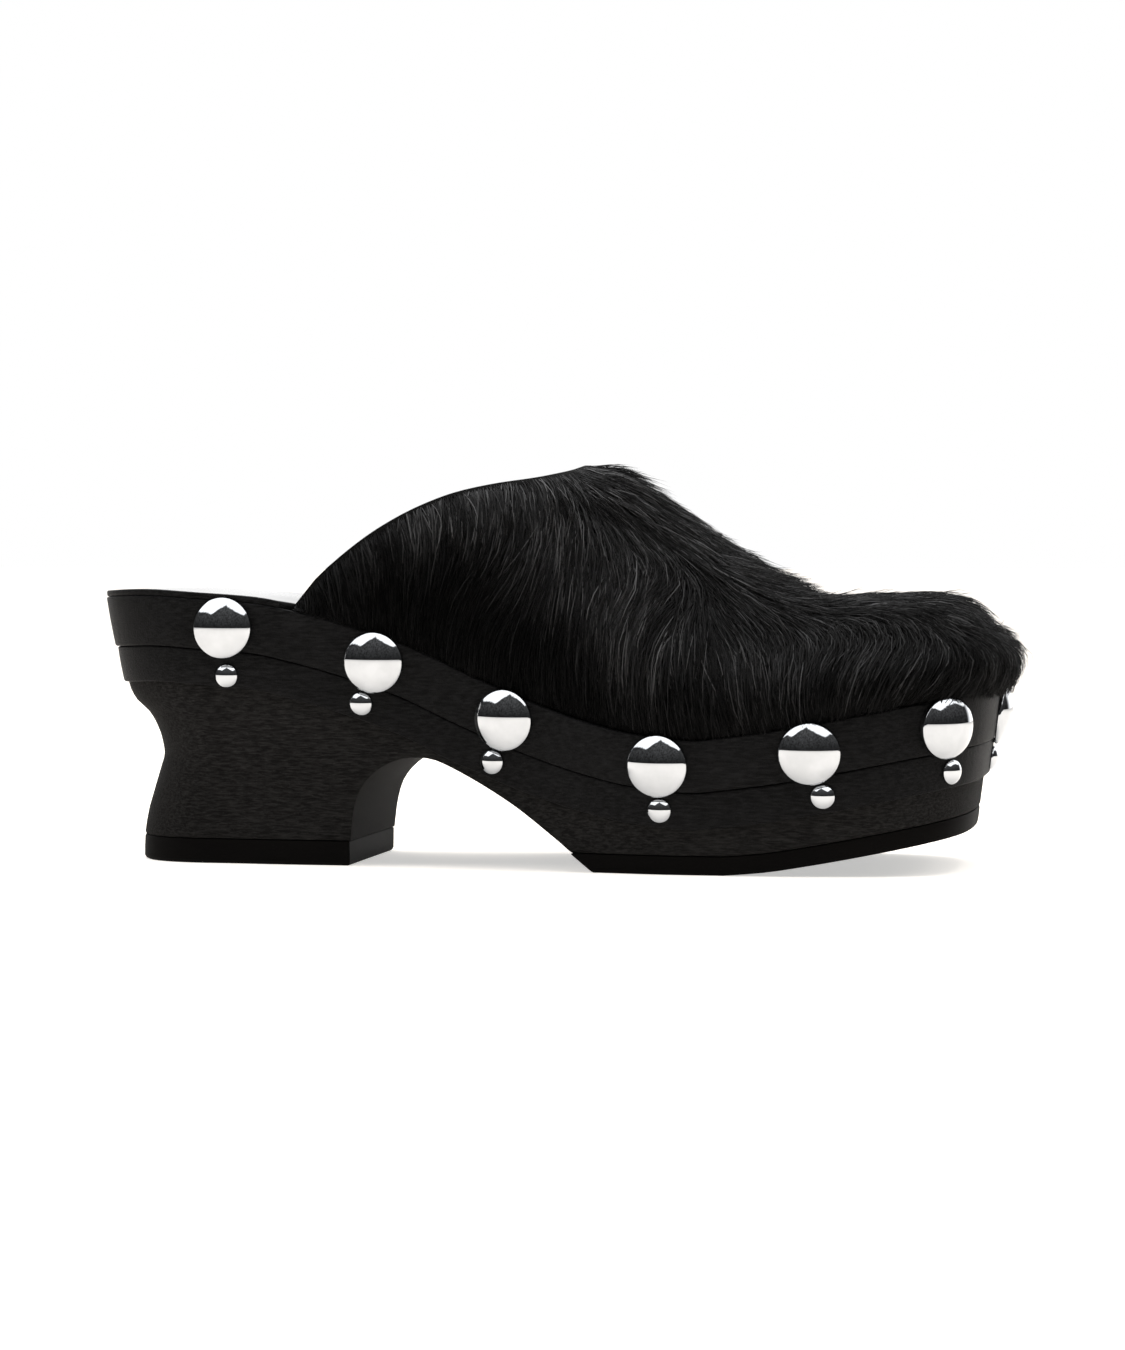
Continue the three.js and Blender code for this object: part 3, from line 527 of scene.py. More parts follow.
class SharedEffects:
    """Grain, brushing and dust that several finishes use."""

    def __init__(self) -> None:
        """Builds the groups."""
        self.grain = self._grain()
        self.streaks = self._streaks()
        self.dust = self._dust()

    def _grain(self) -> NodeTree:
        """Fine leather pores and creases, as a height."""
        tree, source, out = make_group("fine_grain", {"Scale": 900.0, "Pores": 0.5}, "Height")
        cells = tree.add("TexVoronoi", feature="DISTANCE_TO_EDGE")
        noise = tree.add("TexNoise", Detail=4.0, Roughness=0.6)
        tree.feed(source.outputs["Vector"], cells, noise)
        for node in (cells, noise):
            tree.join(source.outputs["Scale"], node.inputs["Scale"])
        edges = tree.between(cells.outputs["Distance"], 0.0, 0.25, 0.0, 1.0)
        pores = tree.maths("MULTIPLY", edges, source.outputs["Pores"])
        tree.join(tree.maths("ADD", pores, noise.outputs["Fac"]), out)
        return tree.tree

    def _streaks(self) -> NodeTree:
        """Long fine streaks along X, as in brushed grain."""
        tree, source, out = make_group("long_streaks", {"Scale": 1900.0, "Stretch": 0.14}, "Fac")
        stretch = tree.add("CombineXYZ", X=0.0, Y=1.0, Z=1.0)
        tree.join(source.outputs["Stretch"], stretch.inputs["X"])
        laid = tree.add("VectorMath", operation="MULTIPLY")
        tree.join(source.outputs["Vector"], laid.inputs[0])
        tree.join(stretch.outputs[0], laid.inputs[1])
        noise = tree.add("TexNoise", Detail=6.0, Roughness=0.65, Distortion=0.4)
        tree.feed(laid.outputs[0], noise)
        tree.join(source.outputs["Scale"], noise.inputs["Scale"])
        tree.join(noise.outputs["Fac"], out)
        return tree.tree

    def _dust(self) -> NodeTree:
        """Sparse pale specks and soft smudges, as a mask."""
        tree, source, out = make_group("dust_and_rub", {"Specks": 1400.0, "Amount": 0.5}, "Mask")
        specks = tree.add("TexNoise", Detail=2.0)
        smudge = tree.add("TexNoise", Scale=28.0, Detail=4.0)
        tree.feed(source.outputs["Vector"], specks, smudge)
        tree.join(source.outputs["Specks"], specks.inputs["Scale"])
        sharp = tree.between(specks.outputs["Fac"], 0.6, 0.78, 0.0, 1.0)
        soft = tree.between(smudge.outputs["Fac"], 0.45, 0.8, 0.0, 0.6)
        tree.join(tree.maths("MULTIPLY", tree.maths("ADD", sharp, soft), source.outputs["Amount"]), out)
        return tree.tree


@dataclass(frozen=True)
class SolidFinish:
    """Leather, rubber or stained wood: a dark ground with grain, streaks and dust."""

    name: str
    colour: tuple[float, float, float]
    pale: tuple[float, float, float]
    roughness: float
    specular: float
    grain_scale: float
    pores: float = 0.5
    bump: float = 0.12
    streak_share: float = 0.0
    dust: float = 0.3
    dusty_roughness: float = 0.25

    def build(self, shared: SharedEffects) -> Material:
        """Builds the material.

        Args:
            shared: The node groups in common.

        Returns:
            The material.
        """
        material, tree, shader = start_material(self.name, Specular_IOR_Level=self.specular)
        place = tree.add("TexCoord").outputs["Object"]
        dust = tree.add("Group", node_tree=shared.dust)
        dust.inputs["Amount"].default_value = self.dust
        streaks = tree.add("Group", node_tree=shared.streaks)
        grain = tree.add("Group", node_tree=shared.grain)
        grain.inputs["Scale"].default_value = self.grain_scale
        grain.inputs["Pores"].default_value = self.pores
        tree.feed(place, dust, streaks, grain)
        streak = tree.between(streaks.outputs["Fac"], 0.4, 0.66, 0.0, self.streak_share)
        share = tree.maths("ADD", dust.outputs["Mask"], streak)
        tone = tree.add("Mix", data_type="RGBA", clamp_factor=True)
        sockets = {socket.identifier: socket for socket in (*tone.inputs, *tone.outputs)}
        sockets["A_Color"].default_value = (*self.colour, 1)
        sockets["B_Color"].default_value = (*self.pale, 1)
        tree.join(share, sockets["Factor_Float"])
        tree.join(sockets["Result_Color"], shader.inputs["Base Color"])
        rough = tree.between(share, 0.0, 1.0, self.roughness, min(1.0, self.roughness + self.dusty_roughness))
        tree.join(rough, shader.inputs["Roughness"])
        relief = tree.maths("MULTIPLY", streaks.outputs["Fac"], 2 * self.streak_share)
        bump = tree.add("Bump", Strength=self.bump, Distance=0.0004)
        tree.join(tree.maths("ADD", grain.outputs["Height"], relief), bump.inputs["Height"])
        tree.join(bump.outputs["Normal"], shader.inputs["Normal"])
        return material


@dataclass(frozen=True)
class ChromeFinish:
    """Polished chrome with the faintest haze."""

    name: str = "polished_chrome"
    colour: tuple[float, float, float] = (0.435, 0.448, 0.466)
    smooth: float = 0.015
    hazy: float = 0.06

    def build(self) -> Material:
        """Builds the material."""
        material, tree, shader = start_material(self.name, Metallic=1.0)
        haze = tree.add("TexNoise", Scale=160.0, Detail=3.0)
        tree.feed(tree.add("TexCoord").outputs["Object"], haze)
        cloud = tree.add("VectorMath", operation="SCALE")
        cloud.inputs[0].default_value = self.colour
        tree.join(tree.between(haze.outputs["Fac"], 0.35, 0.65, 0.94, 1.05), cloud.inputs["Scale"])
        tree.join(cloud.outputs[0], shader.inputs["Base Color"])
        rough = tree.between(haze.outputs["Fac"], 0.5, 0.75, self.smooth, self.hazy)
        tree.join(rough, shader.inputs["Roughness"])
        return material


@dataclass(frozen=True)
class HairFinish:
    """Glossy black hair, each strand a little lighter or darker than the next, the lighter ones carrying
    painted sheen and glints.
    """

    name: str = "black_hair"
    dark: tuple[float, float, float] = (0.0006, 0.0006, 0.0006)
    light: tuple[float, float, float] = (0.15, 0.15, 0.153)
    roughness: float = 0.38
    uneven: float = 0.14
    specular: float = 0.06

    def build(self) -> Material:
        """Builds the material, which reads each strand's own shade, painted sheen and glints included."""
        material, tree, shader = start_material(self.name, Specular_IOR_Level=self.specular)
        shade = tree.add("Attribute", attribute_name="shade", attribute_type="GEOMETRY")
        # The ramp's light end is reached by the painted sheen and glints in the shade attribute
        ramp = tree.add("ValToRGB")
        ramp.color_ramp.elements[0].color = (*self.dark, 1)
        ramp.color_ramp.elements[1].color = (*self.light, 1)
        tree.join(shade.outputs["Fac"], ramp.inputs["Fac"])
        tree.join(ramp.outputs["Color"], shader.inputs["Base Color"])
        noise = tree.add("TexNoise", Scale=90.0, Detail=2.0)
        tree.feed(tree.add("TexCoord").outputs["Object"], noise)
        rough = tree.between(noise.outputs["Fac"], 0.3, 0.7, self.roughness, self.roughness + self.uneven)
        tree.join(rough, shader.inputs["Roughness"])
        return material


@dataclass
class WoodenSole:
    """The carved wooden sole with its heel and the rebate for the upper's margin."""

    last: Last
    levels: int = 40
    rebate_start: float = 59.1
    rebate_depth: float = 8.3
    rebate_inset: float = 1.7
    edge_round: float = 0.7

    def build(self) -> BMesh:
        """Lofts the side from the underside to the top edge and closes both ends."""
        last = self.last
        inset = np.where(last.x > self.rebate_start, -self.rebate_inset, 0.0)

        def at(share: float, drop: float = 0.0) -> Callable[[Array], Array]:
            """Height at a share of the way up to the rebate's foot."""
            def height(x: Array) -> Array:
                """Height over the floor at each distance along the sole."""
                low = last.wood_bottom(x)
                return low + drop + share * (last.top - self.rebate_depth - low - drop)
            return height

        soft = self.edge_round
        rings = [last.settled(at(0), -soft), last.settled(at(0, 0.25 * soft), -0.3 * soft)]
        rings += [last.settled(at(s, soft), 0.0) for s in np.linspace(0, 1, self.levels)]
        top = last.top - self.rebate_depth
        rings += [last.ring(up, inset, True) for up in (top + 0.05, (top + last.top) / 2, last.top)]
        bm = bmesh.new()
        made = loft(bm, rings)
        for ring in (made[0], made[-1]):
            ladder(bm, ring, 0, last.tip, len(last.x))
        return bm


@dataclass
class RubberSoles:
    """The heel tip and the forepart sole."""

    last: Last
    bevel: float = 1.0
    edge: float = 0.5

    def heel_tip(self) -> BMesh:
        """The rubber under the heel, bevelled at the floor and cut off at the breast."""
        last = self.last
        thick, cut = last.tip_thickness, self.bevel
        plan = (
            (0.0, -1.8 * cut), (0.0, -cut), (0.35 * cut, -0.4 * cut), (cut, 0.0),
            (thick / 2, 0.05), (thick - self.edge, 0.0), (thick - 0.15, -0.15), (thick, -self.edge),
        )
        front = last.arch[0, 0]
        count = int(np.argmax(last.x > front))
        bm = bmesh.new()
        rings = []
        for z, offset in plan:
            ring = last.ring(z, offset, True)
            outer, inner = ring[:count].copy(), ring[len(ring) - count + 1:].copy()
            end = front + min(0.0, offset) * 0.8
            outer[-1, 0] = inner[0, 0] = end
            outer[:, 0] = np.minimum(outer[:, 0], end)
            inner[:, 0] = np.minimum(inner[:, 0], end)
            rings.append(np.concatenate([outer, inner]))
        made = loft(bm, rings)
        for ring in (made[0], made[-1]):
            ladder(bm, ring, 0, count - 1, len(ring))
        return bm

    def forepart(self) -> BMesh:
        """The rubber under the forepart, its back edge following the arch."""
        last = self.last
        thick = last.rubber_thickness
        plan = (
            (0.0, -2.2), (0.0, -0.6), (0.2, -0.15), (0.7, 0.0),
            (thick / 2, 0.08), (thick - 0.6, 0.0), (thick - 0.15, -0.2), (thick, -0.6),
        )
        falling = last.arch[last.arch[:, 1].argmax():][::-1]
        start = float(np.interp(0.0, falling[:, 1], falling[:, 0]))
        first = int(np.argmax(last.x > start + 1.5))
        count = len(last.x)
        bm = bmesh.new()
        rings = []
        for up, offset in plan:
            ring = last.ring(0.0, offset)
            for _ in range(SETTLING):
                ring = last.ring(last.underside(ring[:, 0]) + up, offset)
            kept = ring[first - 1:count - first + 2].copy()
            back = float(np.interp(up, falling[:, 1], falling[:, 0])) - 0.4 * min(0.0, offset)
            kept[0, 0] = kept[-1, 0] = back
            rings.append(kept)
        made = loft(bm, rings)
        for ring in (made[0], made[-1]):
            ladder(bm, ring, 0, last.tip - first + 1, len(ring) - 1)
        return bm


@dataclass
class EdgeBands:
    """The two leather bands round the sole's edge."""

    last: Last
    upper_height: float = 13.9
    upper_thickness: float = 1.8
    lower_height: float = 10.1
    lower_thickness: float = 1.2
    roundness: float = 0.55
    overlap: float = 0.2

    def band(self, start: float, height: float, thickness: float) -> BMesh:
        """One band, its outer corners rounded.

        Args:
            start: Distance of its top below the sole's top edge.
            height: Its height.
            thickness: Its thickness.

        Returns:
            Its mesh.
        """
        last = self.last
        inside, face, r = last.clearance, last.clearance + thickness, self.roundness
        section = [(0, inside), (0, face - r), (0.13 * r, face - 0.5 * r)]
        section += [(0.5 * r, face - 0.13 * r), (r, face)]
        section += [(height * s, face + 0.12 * math.sin(math.pi * s)) for s in (0.25, 0.5, 0.75)]
        section += [(height - down, out) for down, out in section[4::-1]]
        bm = bmesh.new()
        loft(bm, [last.below(start + down, out) for down, out in section], closed=True)
        return bm

    def upper(self) -> BMesh:
        """The band that covers the upper's margin."""
        return self.band(0.0, self.upper_height + self.overlap, self.upper_thickness)

    def lower(self) -> BMesh:
        """The thinner band below it."""
        return self.band(self.upper_height + self.last.clearance, self.lower_height, self.lower_thickness)


@dataclass
class Insole:
    """The leather insole, over the band at the open heel and narrower inside the upper."""

    last: Last
    thickness: float = 1.6
    lip: float = 1.8
    inside: float = -2.0
    heel_end: float = 58.8
    sunk: float = 0.04
    flat: float = 0.97

    def build(self) -> BMesh:
        """Lofts its rounded edge and closes top and bottom."""
        last = self.last
        low, high = -self.sunk, -(last.clearance + self.thickness)
        reach = np.where(last.x < self.heel_end, self.lip, self.inside)
        edge = (
            (low, -0.5), (low - 0.15, -0.12), (low - 0.5, 0.0), (low - 1.0, 0.0),
            (high + 0.25, -0.18), (high + 0.05, -0.5), (high, -1.1), (high, -3.0),
        )
        bm = bmesh.new()
        made = loft(bm, [last.below(down, reach + out) for down, out in edge])
        bm.normal_update()
        for face in bm.faces:
            face.material_index = int(abs(face.normal.z) < self.flat)
        for ring in (made[0], made[-1]):
            ladder(bm, ring, 0, last.tip, len(last.x))
        return bm


@dataclass
class UpperForm:
    """The form of the hair-on upper: its ridge, roundness, swell and collar."""

    last: Last
    instep: float = 111.4
    wall: float = 2.4
    margin_wall: float = 1.4
    margin_depth: float = 8.0
    collar_start: float = 59.4
    crown_setback: float = 24.0
    ridge_shift: float = 4.0
    fan_start: float = 0.6
    swell_reach: float = 1.6
    heights: int = 30

    # Share of the full wall at the lasted margin's three lowest points
    MARGIN_SHARES = (0.5, 0.5, 0.6)

    def __post_init__(self) -> None:
        """Works out the sections from behind the collar to the toe."""
        last = self.last
        span = last.length
        at = (0.2, 0.386, 0.457, 0.516, 0.555, 0.579, 0.603, 0.635, 0.67, 0.725, 0.773, 0.816, 0.87, 1)
        ridge = (1.43, 1.25, 1.15, 1.065, 1.002, 0.985, 0.953, 0.901, 0.847, 0.76, 0.69, 0.66, 0.668, 0.664)
        roundness = (2, 2, 2, 2, 2, 2, 2, 2, 2.05, 2.1, 2.2, 2.3, 2.5, 3.2)
        swell = (0, 0, 0.4, 0.7, 1, 1.2, 1.3, 1.5, 1.8, 2.2, 2.4, 2.6, 3, 4.8)
        self.ridge = Curve(at, ridge, span)
        self.roundness = Curve(at, roundness, span)
        self.swell = Curve(at, swell, span)
        collar_at = (0.234, 0.241, 0.257, 0.291, 0.334, 0.377, 0.418, 0.459, 0.498, 0.518, 0.536, 0.552)
        collar_up = (0.645, 0.66, 0.709, 0.781, 0.854, 0.908, 0.944, 0.965, 0.979, 0.989, 1.002, 1.03)
        self.collar = Curve(collar_at, collar_up, span)
        self.peak = collar_at[-1] * span

    def section(self, corner: int, side: Side) -> tuple[Array, Array]:
        """One side of one section, from under the band up to the collar or ridge.

        Args:
            corner: Index of the corner on the outer side.
            side: The side wanted.

        Returns:
            Its points, and the share of the full wall at each.
        """
        last = self.last
        count = len(last.x)
        other = (count - corner) % count
        index = corner if side is Side.OUTER else other
        x = (last.x[corner] + last.x[other]) / 2
        start, crown = self.fan_start * last.length, last.length - self.crown_setback
        share = max(0.0, (x - start) / (last.length - start))
        gather = (last.length - start) / (crown - start) - 1
        spine_x = x if x < start else start + (crown - start) * share * (1 + gather * (1 - share))
        spine = np.array([spine_x, self.ridge_shift, float(self.ridge(spine_x)) * self.instep])
        foot = np.array([last.x[index], last.y[index], last.top[index]])
        roundness, swell = float(self.roundness(x)), float(self.swell(x))
        top = 1.0
        if x < self.peak:
            rise = (float(self.collar(x)) * self.instep - foot[2]) / (spine[2] - foot[2])
            top = min(1.0, 2 / math.pi * math.asin(min(1.0, max(0.0, rise)) ** (roundness / 2)))
        angle = np.linspace(0, 1, self.heights) * top * math.pi / 2
        out = np.cos(angle) ** (2 / roundness)
        up = np.sin(angle) ** (2 / roundness)
        out[-1] = 0.0 if top == 1.0 else out[-1]
        points = spine + (foot - spine) * np.stack([out, out, 1 - up], 1)
        fullness = np.sin(math.pi * np.minimum(1, up * self.swell_reach)) * out
        points[:, :2] += last.facing[index] * ((swell + self.wall - self.margin_wall) * fullness)[:, None]
        depths = (self.margin_depth, self.margin_depth / 2)
        margin = [last.ring(last.top - depth, 0.0)[index] for depth in depths]
        wall = np.concatenate([self.MARGIN_SHARES, np.ones(self.heights - 1)])
        return np.concatenate([margin, points]), wall

    def skin(self) -> BMesh:
        """The outer face as one open sheet, with its share of the wall as a vertex group."""
        last = self.last
        bm = bmesh.new()
        layer = bm.verts.layers.deform.verify()
        first = int(np.argmax(last.x >= self.collar_start))
        for side in Side:
            rows = []
            for corner in range(first, last.tip + 1):
                points, wall = self.section(corner, side)
                row = [bm.verts.new(p) for p in points]
                for vert, share in zip(row, wall):
                    vert[layer][0] = float(share)
                rows.append(row)
            for a, b in zip(rows, rows[1:]):
                for j in range(len(a) - 1):
                    face = (a[j], b[j], b[j + 1], a[j + 1])
                    bm.faces.new(face if side is Side.OUTER else face[::-1])
        bmesh.ops.remove_doubles(bm, verts=bm.verts, dist=0.02)
        bmesh.ops.dissolve_degenerate(bm, edges=bm.edges, dist=0.005)
        return bm


@dataclass
class HairCoat:
    """The coat of long hair: where it grows, how it lies, gathers into locks and stands off."""

    form: UpperForm
    strands: int = 8900
    rings: int = 4
    width: float = 0.3
    flatness: float = 0.9
    longest: float = 26.0
    shortest: float = 7.0
    lock_spacing: float = 3.6
    tightness: float = 0.85
    lift: float = 2.6
    toe_lift: float = 4.0
    stray: float = 0.17
    kept_down: float = 0.93
    stray_lift: float = 2.4
    wobble: float = 0.28
    skin_gap: float = 0.1
    root_depth: float = 0.35
    edge_depth: float = 4.0
    edge_density: float = 2.5
    band_cover: float = 0.2

    # A strand's width at each ring, as a share of its full width
    TAPER = (0.8, 1.0, 0.9, 0.62, 0.0)

    # How far hairs stand off the ridge, by length along the shoe
    TUFT_AT = (60, 100, 127, 135, 143, 149, 160, 172, 179, 187, 194, 207, 222, 240, 256)
    TUFT = (0.3, 0.4, 1.6, 4.6, 4.6, 1.6, 1.0, 1.4, 5.2, 5.2, 1.6, 1.0, 0.6, 1.0, 1.6)

    # The hair's lie, in degrees forward of straight down, by length (a row) and height (a column)
    LIE_AT = (60, 85, 105, 120, 132, 143, 155, 167, 175, 183, 198, 209, 223, 238, 252, 266)
    LIE_UP = (0.0, 0.2, 0.4, 0.55, 0.7, 0.85, 1.0)
    LIE = (
        (10, 12, 14, 16, 18, 22, 24),
        (8, 4, 2, 4, 10, 16, 20),
        (6, -6, -18, -14, -4, 8, 14),
        (5, -12, -34, -34, -14, 4, 14),
        (5, -4, -14, -12, -6, 2, 22),
        (6, 0, 0, 2, 6, 24, 50),
        (5, 2, -2, -24, 6, 40, 58),
        (5, 4, -4, -24, -40, 44, 58),
        (6, 8, 4, 2, -10, 40, 56),
        (8, 12, 14, 22, 32, 42, 54),
        (8, 12, 2, -2, 12, 44, 52),
        (6, 6, -10, -8, 10, 52, 74),
        (4, -16, -26, -18, 8, 56, 82),
        (2, -22, -34, -20, 6, 46, 78),
        (0, -18, -24, -10, 10, 40, 64),
        (-4, -14, -10, 4, 16, 34, 50),
    )

    # Painted sheen and shade: how light the hair is painted, by length (a row) and height (a column),
    # standing in for how its lie catches the light
    PAINTED_SHEEN = (
        (0.08, 0.1, 0.12, 0.2, 0.35, 0.45, 0.5),
        (0.06, 0.05, 0.05, 0.08, 0.3, 0.75, 0.9),
        (0.05, 0.04, 0.04, 0.06, 0.3, 0.9, 1.0),
        (0.05, 0.05, 0.06, 0.15, 0.4, 0.8, 0.9),
        (0.05, 0.06, 0.15, 0.5, 0.8, 0.9, 0.9),
        (0.05, 0.1, 0.5, 1.0, 1.0, 0.9, 1.1),
        (0.06, 0.2, 0.9, 1.1, 0.8, 0.8, 1.1),
        (0.06, 0.2, 0.9, 0.8, 0.6, 1.0, 1.1),
        (0.07, 0.25, 0.8, 0.7, 0.4, 1.0, 1.1),
        (0.07, 0.25, 0.75, 0.65, 0.5, 0.9, 1.0),
        (0.07, 0.2, 0.5, 0.5, 0.45, 0.7, 0.9),
        (0.07, 0.2, 0.45, 0.45, 0.4, 0.6, 0.8),
        (0.06, 0.2, 0.45, 0.45, 0.4, 0.5, 0.8),
        (0.06, 0.25, 0.4, 0.45, 0.45, 0.5, 0.7),
        (0.08, 0.3, 0.35, 0.4, 0.4, 0.5, 0.6),
        (0.1, 0.3, 0.35, 0.4, 0.4, 0.5, 0.6),
    )

    def read(self, rows: Sequence[Sequence[float]], x: Array, up: Array) -> Array:
        """A table's value at places on the upper.

        Args:
            rows: A row for each length and a column for each height.
            x: Lengths along the shoe.
            up: Heights, from the band at 0 to the ridge at 1.

        Returns:
            The value at each place.
        """
        table = np.array(rows, float)
        i = np.interp(x, self.LIE_AT, np.arange(len(self.LIE_AT)))
        j = np.interp(up, self.LIE_UP, np.arange(len(self.LIE_UP)))
        i0 = np.minimum(i.astype(int), len(self.LIE_AT) - 2)
        j0 = np.minimum(j.astype(int), len(self.LIE_UP) - 2)
        s, t = i - i0, j - j0
        low = table[i0, j0] * (1 - t) + table[i0, j0 + 1] * t
        high = table[i0 + 1, j0] * (1 - t) + table[i0 + 1, j0 + 1] * t
        return low * (1 - s) + high * s

    def share_up(self, points: Array) -> Array:
        """Height of points between the band's top and the ridge, from 0 to 1."""
        x = points[:, 0]
        low = self.form.last.top_edge(x)
        crown = self.form.last.length - self.form.crown_setback
        high = self.form.ridge(np.minimum(x, crown)) * self.form.instep
        collar = self.form.collar(x) * self.form.instep
        high = np.where(x < self.form.peak, np.minimum(high, collar), high)
        high = np.where(x > crown, high - (high - low) * np.clip((x - crown) / 34, 0, 0.55) ** 1.5, high)
        return np.clip((points[:, 2] - low) / np.maximum(high - low, 1.0), 0, 1)

    def prepare(self, skin: BMesh, rng: np.random.Generator) -> None:
        """Readies the skin for rooting strands, and lays the locks that they gather into.

        Args:
            skin: The upper's outer face, in millimetres.
            rng: The seeded source of chance.
        """
        self.rng = rng
        work = skin.copy()
        bmesh.ops.triangulate(work, faces=work.faces)
        self.tree = BVHTree.FromBMesh(work)
        self.corners = np.array([[v.co for v in f.verts] for f in work.faces], float)
        work.free()
        a, b, c = self.corners.transpose(1, 0, 2)
        self.middle = self.corners.mean(1)
        above = self.middle[:, 2] > self.form.last.top_edge(self.middle[:, 0]) - self.band_cover
        self.area = np.linalg.norm(np.cross(b - a, c - a), axis=1) / 2 * above
        count = int(self.area.sum() / self.lock_spacing ** 2)
        roots = self.scatter(self.area, count)
        self.lock_paths, _ = self.trace(roots, np.full(count, self.longest), np.zeros(count))
        self.lock_shade = self.rng.random(count)
        self.lock_lift = self.rng.random(count)
        self.locks = KDTree(count)
        for i, root in enumerate(roots):
            self.locks.insert(root, i)
        self.locks.balance()

    def scatter(self, weight: Array, count: int) -> Array:
        """Random roots over the skin's faces, by weight."""
        pick = self.rng.choice(len(weight), size=count, p=weight / weight.sum())
        a, b = self.rng.random(count), self.rng.random(count)
        fold = a + b > 1
        a, b = np.where(fold, 1 - a, a)[:, None], np.where(fold, 1 - b, b)[:, None]
        c = self.corners[pick]
        return c[:, 0] + a * (c[:, 1] - c[:, 0]) + b * (c[:, 2] - c[:, 0])

    def trace(self, roots: Array, length: Array, stray: Array) -> tuple[Array, Array]:
        """Follows the hair's lie over the skin from each root.

        Args:
            roots: Where the hairs grow.
            length: Each one's length.
            stray: How far each strays from the lie, in radians.

        Returns:
            Points of each hair from root to tip, and the skin's normal at each.
        """
        at = roots.copy()
        paths, normals = [], []
        step = length / self.rings
        for ring in range(self.rings + 1):
            found = [self.tree.find_nearest(p) for p in at]
            at = np.array([hit[0] for hit in found], float)
            normal = np.array([hit[1] for hit in found], float)
            paths.append(at)
            normals.append(normal)
            up = self.share_up(at)
            angle = np.radians(self.read(self.LIE, at[:, 0], up)) + stray
            sideways = np.tanh((at[:, 1] - self.form.ridge_shift) / 8)
            spread = 0.22 + 0.3 * fade(at[:, 0], 200, 50)
            lean = np.stack([np.sin(angle), sideways * spread, -np.cos(angle)], 1)
            lean = unit(lean - normal * (lean * normal).sum(1)[:, None])
            above = at[:, 2] - self.form.last.top_edge(at[:, 0])
            slow = np.clip((above - 0.5) / 6, 0.04, 1)
            at = at + lean * (step * slow)[:, None]
        return np.stack(paths, 1), np.stack(normals, 1)

    def strand(self) -> tuple[Array, Array]:
        """The faces of one strand: a tapered three-sided hair, closed at both ends.

        Returns:
            Corner indices of every face in turn, and each face's corner count.
        """
        loops, sizes = [2, 1, 0], [3]
        for k in range(self.rings - 1):
            for j in range(3):
                a, b = 3 * k + j, 3 * k + (j + 1) % 3
                loops += [a, b, b + 3, a + 3]
                sizes.append(4)
        last = 3 * (self.rings - 1)
        for j in range(3):
            loops += [last + j, last + (j + 1) % 3, last + 3]
            sizes.append(3)
        return np.array(loops), np.array(sizes)

    def root(self, inside: Array, count: int) -> tuple[Array, Array, Array]:
        """Roots hairs, more closely along the collar's edge.

        Args:
            inside: True for each face of the skin that they may grow on.
            count: How many.

        Returns:
            Their roots, each root's height from 0 to 1, and each hair's length.
        """
        collar = self.form.collar(self.middle[:, 0]) * self.form.instep
        edge = (self.middle[:, 0] < self.form.peak) & (self.middle[:, 2] > collar - self.edge_depth)
        roots = self.scatter(self.area * inside * np.where(edge, self.edge_density, 1.0), count)
        up = self.share_up(roots)
        length = self.shortest + (self.longest - self.shortest) * fade(up, 0.06, 0.3)
        length *= (0.6 + 0.55 * self.rng.random(count)) * (1 - 0.3 * fade(roots[:, 0], 225, 25))
        length *= 1 - 0.35 * fade(up, 0.8, 0.15)
        return roots, up, length

    def gather(self, paths: Array, lock: Array, up: Array) -> Array:
        """Pulls hairs toward their locks, most at the tips.

        Args:
            paths: Points of each hair.
            lock: The lock that each belongs to.
            up: Height of each root, from 0 to 1.

        Returns:
            The gathered points.
        """
        along = np.linspace(0, 1, self.rings + 1)
        pull = self.tightness * self.rng.random(len(paths)) ** 0.5 * np.clip(up * 4, 0.1, 1)
        guide = self.lock_paths[lock]
        reach, full = (np.linalg.norm(line[:, -1] - line[:, 0], axis=1) for line in (paths, guide))
        where = along * np.minimum(1.0, reach / np.maximum(full, TINY))[:, None] * self.rings
        low = np.minimum(where.astype(int), self.rings - 1)
        part = (where - low)[:, :, None]
        rows = np.arange(len(paths))[:, None]
        target = guide[rows, low] * (1 - part) + guide[rows, low + 1] * part
        return paths + (target - paths) * (pull[:, None] * along ** 1.4)[:, :, None]

    def stand_off(self, roots: Array, tips: Array, lift: Array, up: Array) -> Array:
        """How far hairs stand off the skin: bowed everywhere, flared where they tuft.

        Args:
            roots: Where the hairs grow.
            tips: Where they end.
            lift: How high each one's lock stands, from 0 to 1.
            up: Height of each root, from 0 to 1.

        Returns:
            The distance for each point of each hair.
        """
        rng, count = self.rng, len(roots)
        along = np.linspace(0, 1, self.rings + 1)
        rise = self.lift * (0.35 + 0.65 * lift) * (0.3 + 0.7 * rng.random(count))
        rise *= np.clip(up * 3 + 0.25, 0, 1)
        tuft = np.interp(roots[:, 0], self.TUFT_AT, self.TUFT) * fade(up, 0.72, 0.25)
        spiky = (lift > 0.45) * (0.5 + 0.5 * rng.random(count))
        flare = self.toe_lift * fade(tips[:, 0], 238, 18) * (0.12 + 0.88 * lift * spiky)
        flare += tuft * (0.25 + 0.75 * lift * spiky)
        flare += (rng.random(count) > self.kept_down) * rng.random(count) * self.stray_lift
        bow = np.sin(math.pi * along * 0.72) ** 0.8
        return rise[:, None] * bow + flare[:, None] * along ** 2.0 + self.skin_gap

    def tone_and_painted_sheen(self, points: Array, shade: Array) -> Array:
        """Each hair's tone with painted light: dark and random in tone, scaled by a painted sheen set by
        place, with a painted glint on one here and there.

        Args:
            points: The middle of each hair.
            shade: Its lock's shade, from 0 to 1.

        Returns:
            A value for each hair, from 0 to about 1.
        """
        rng, count = self.rng, len(points)
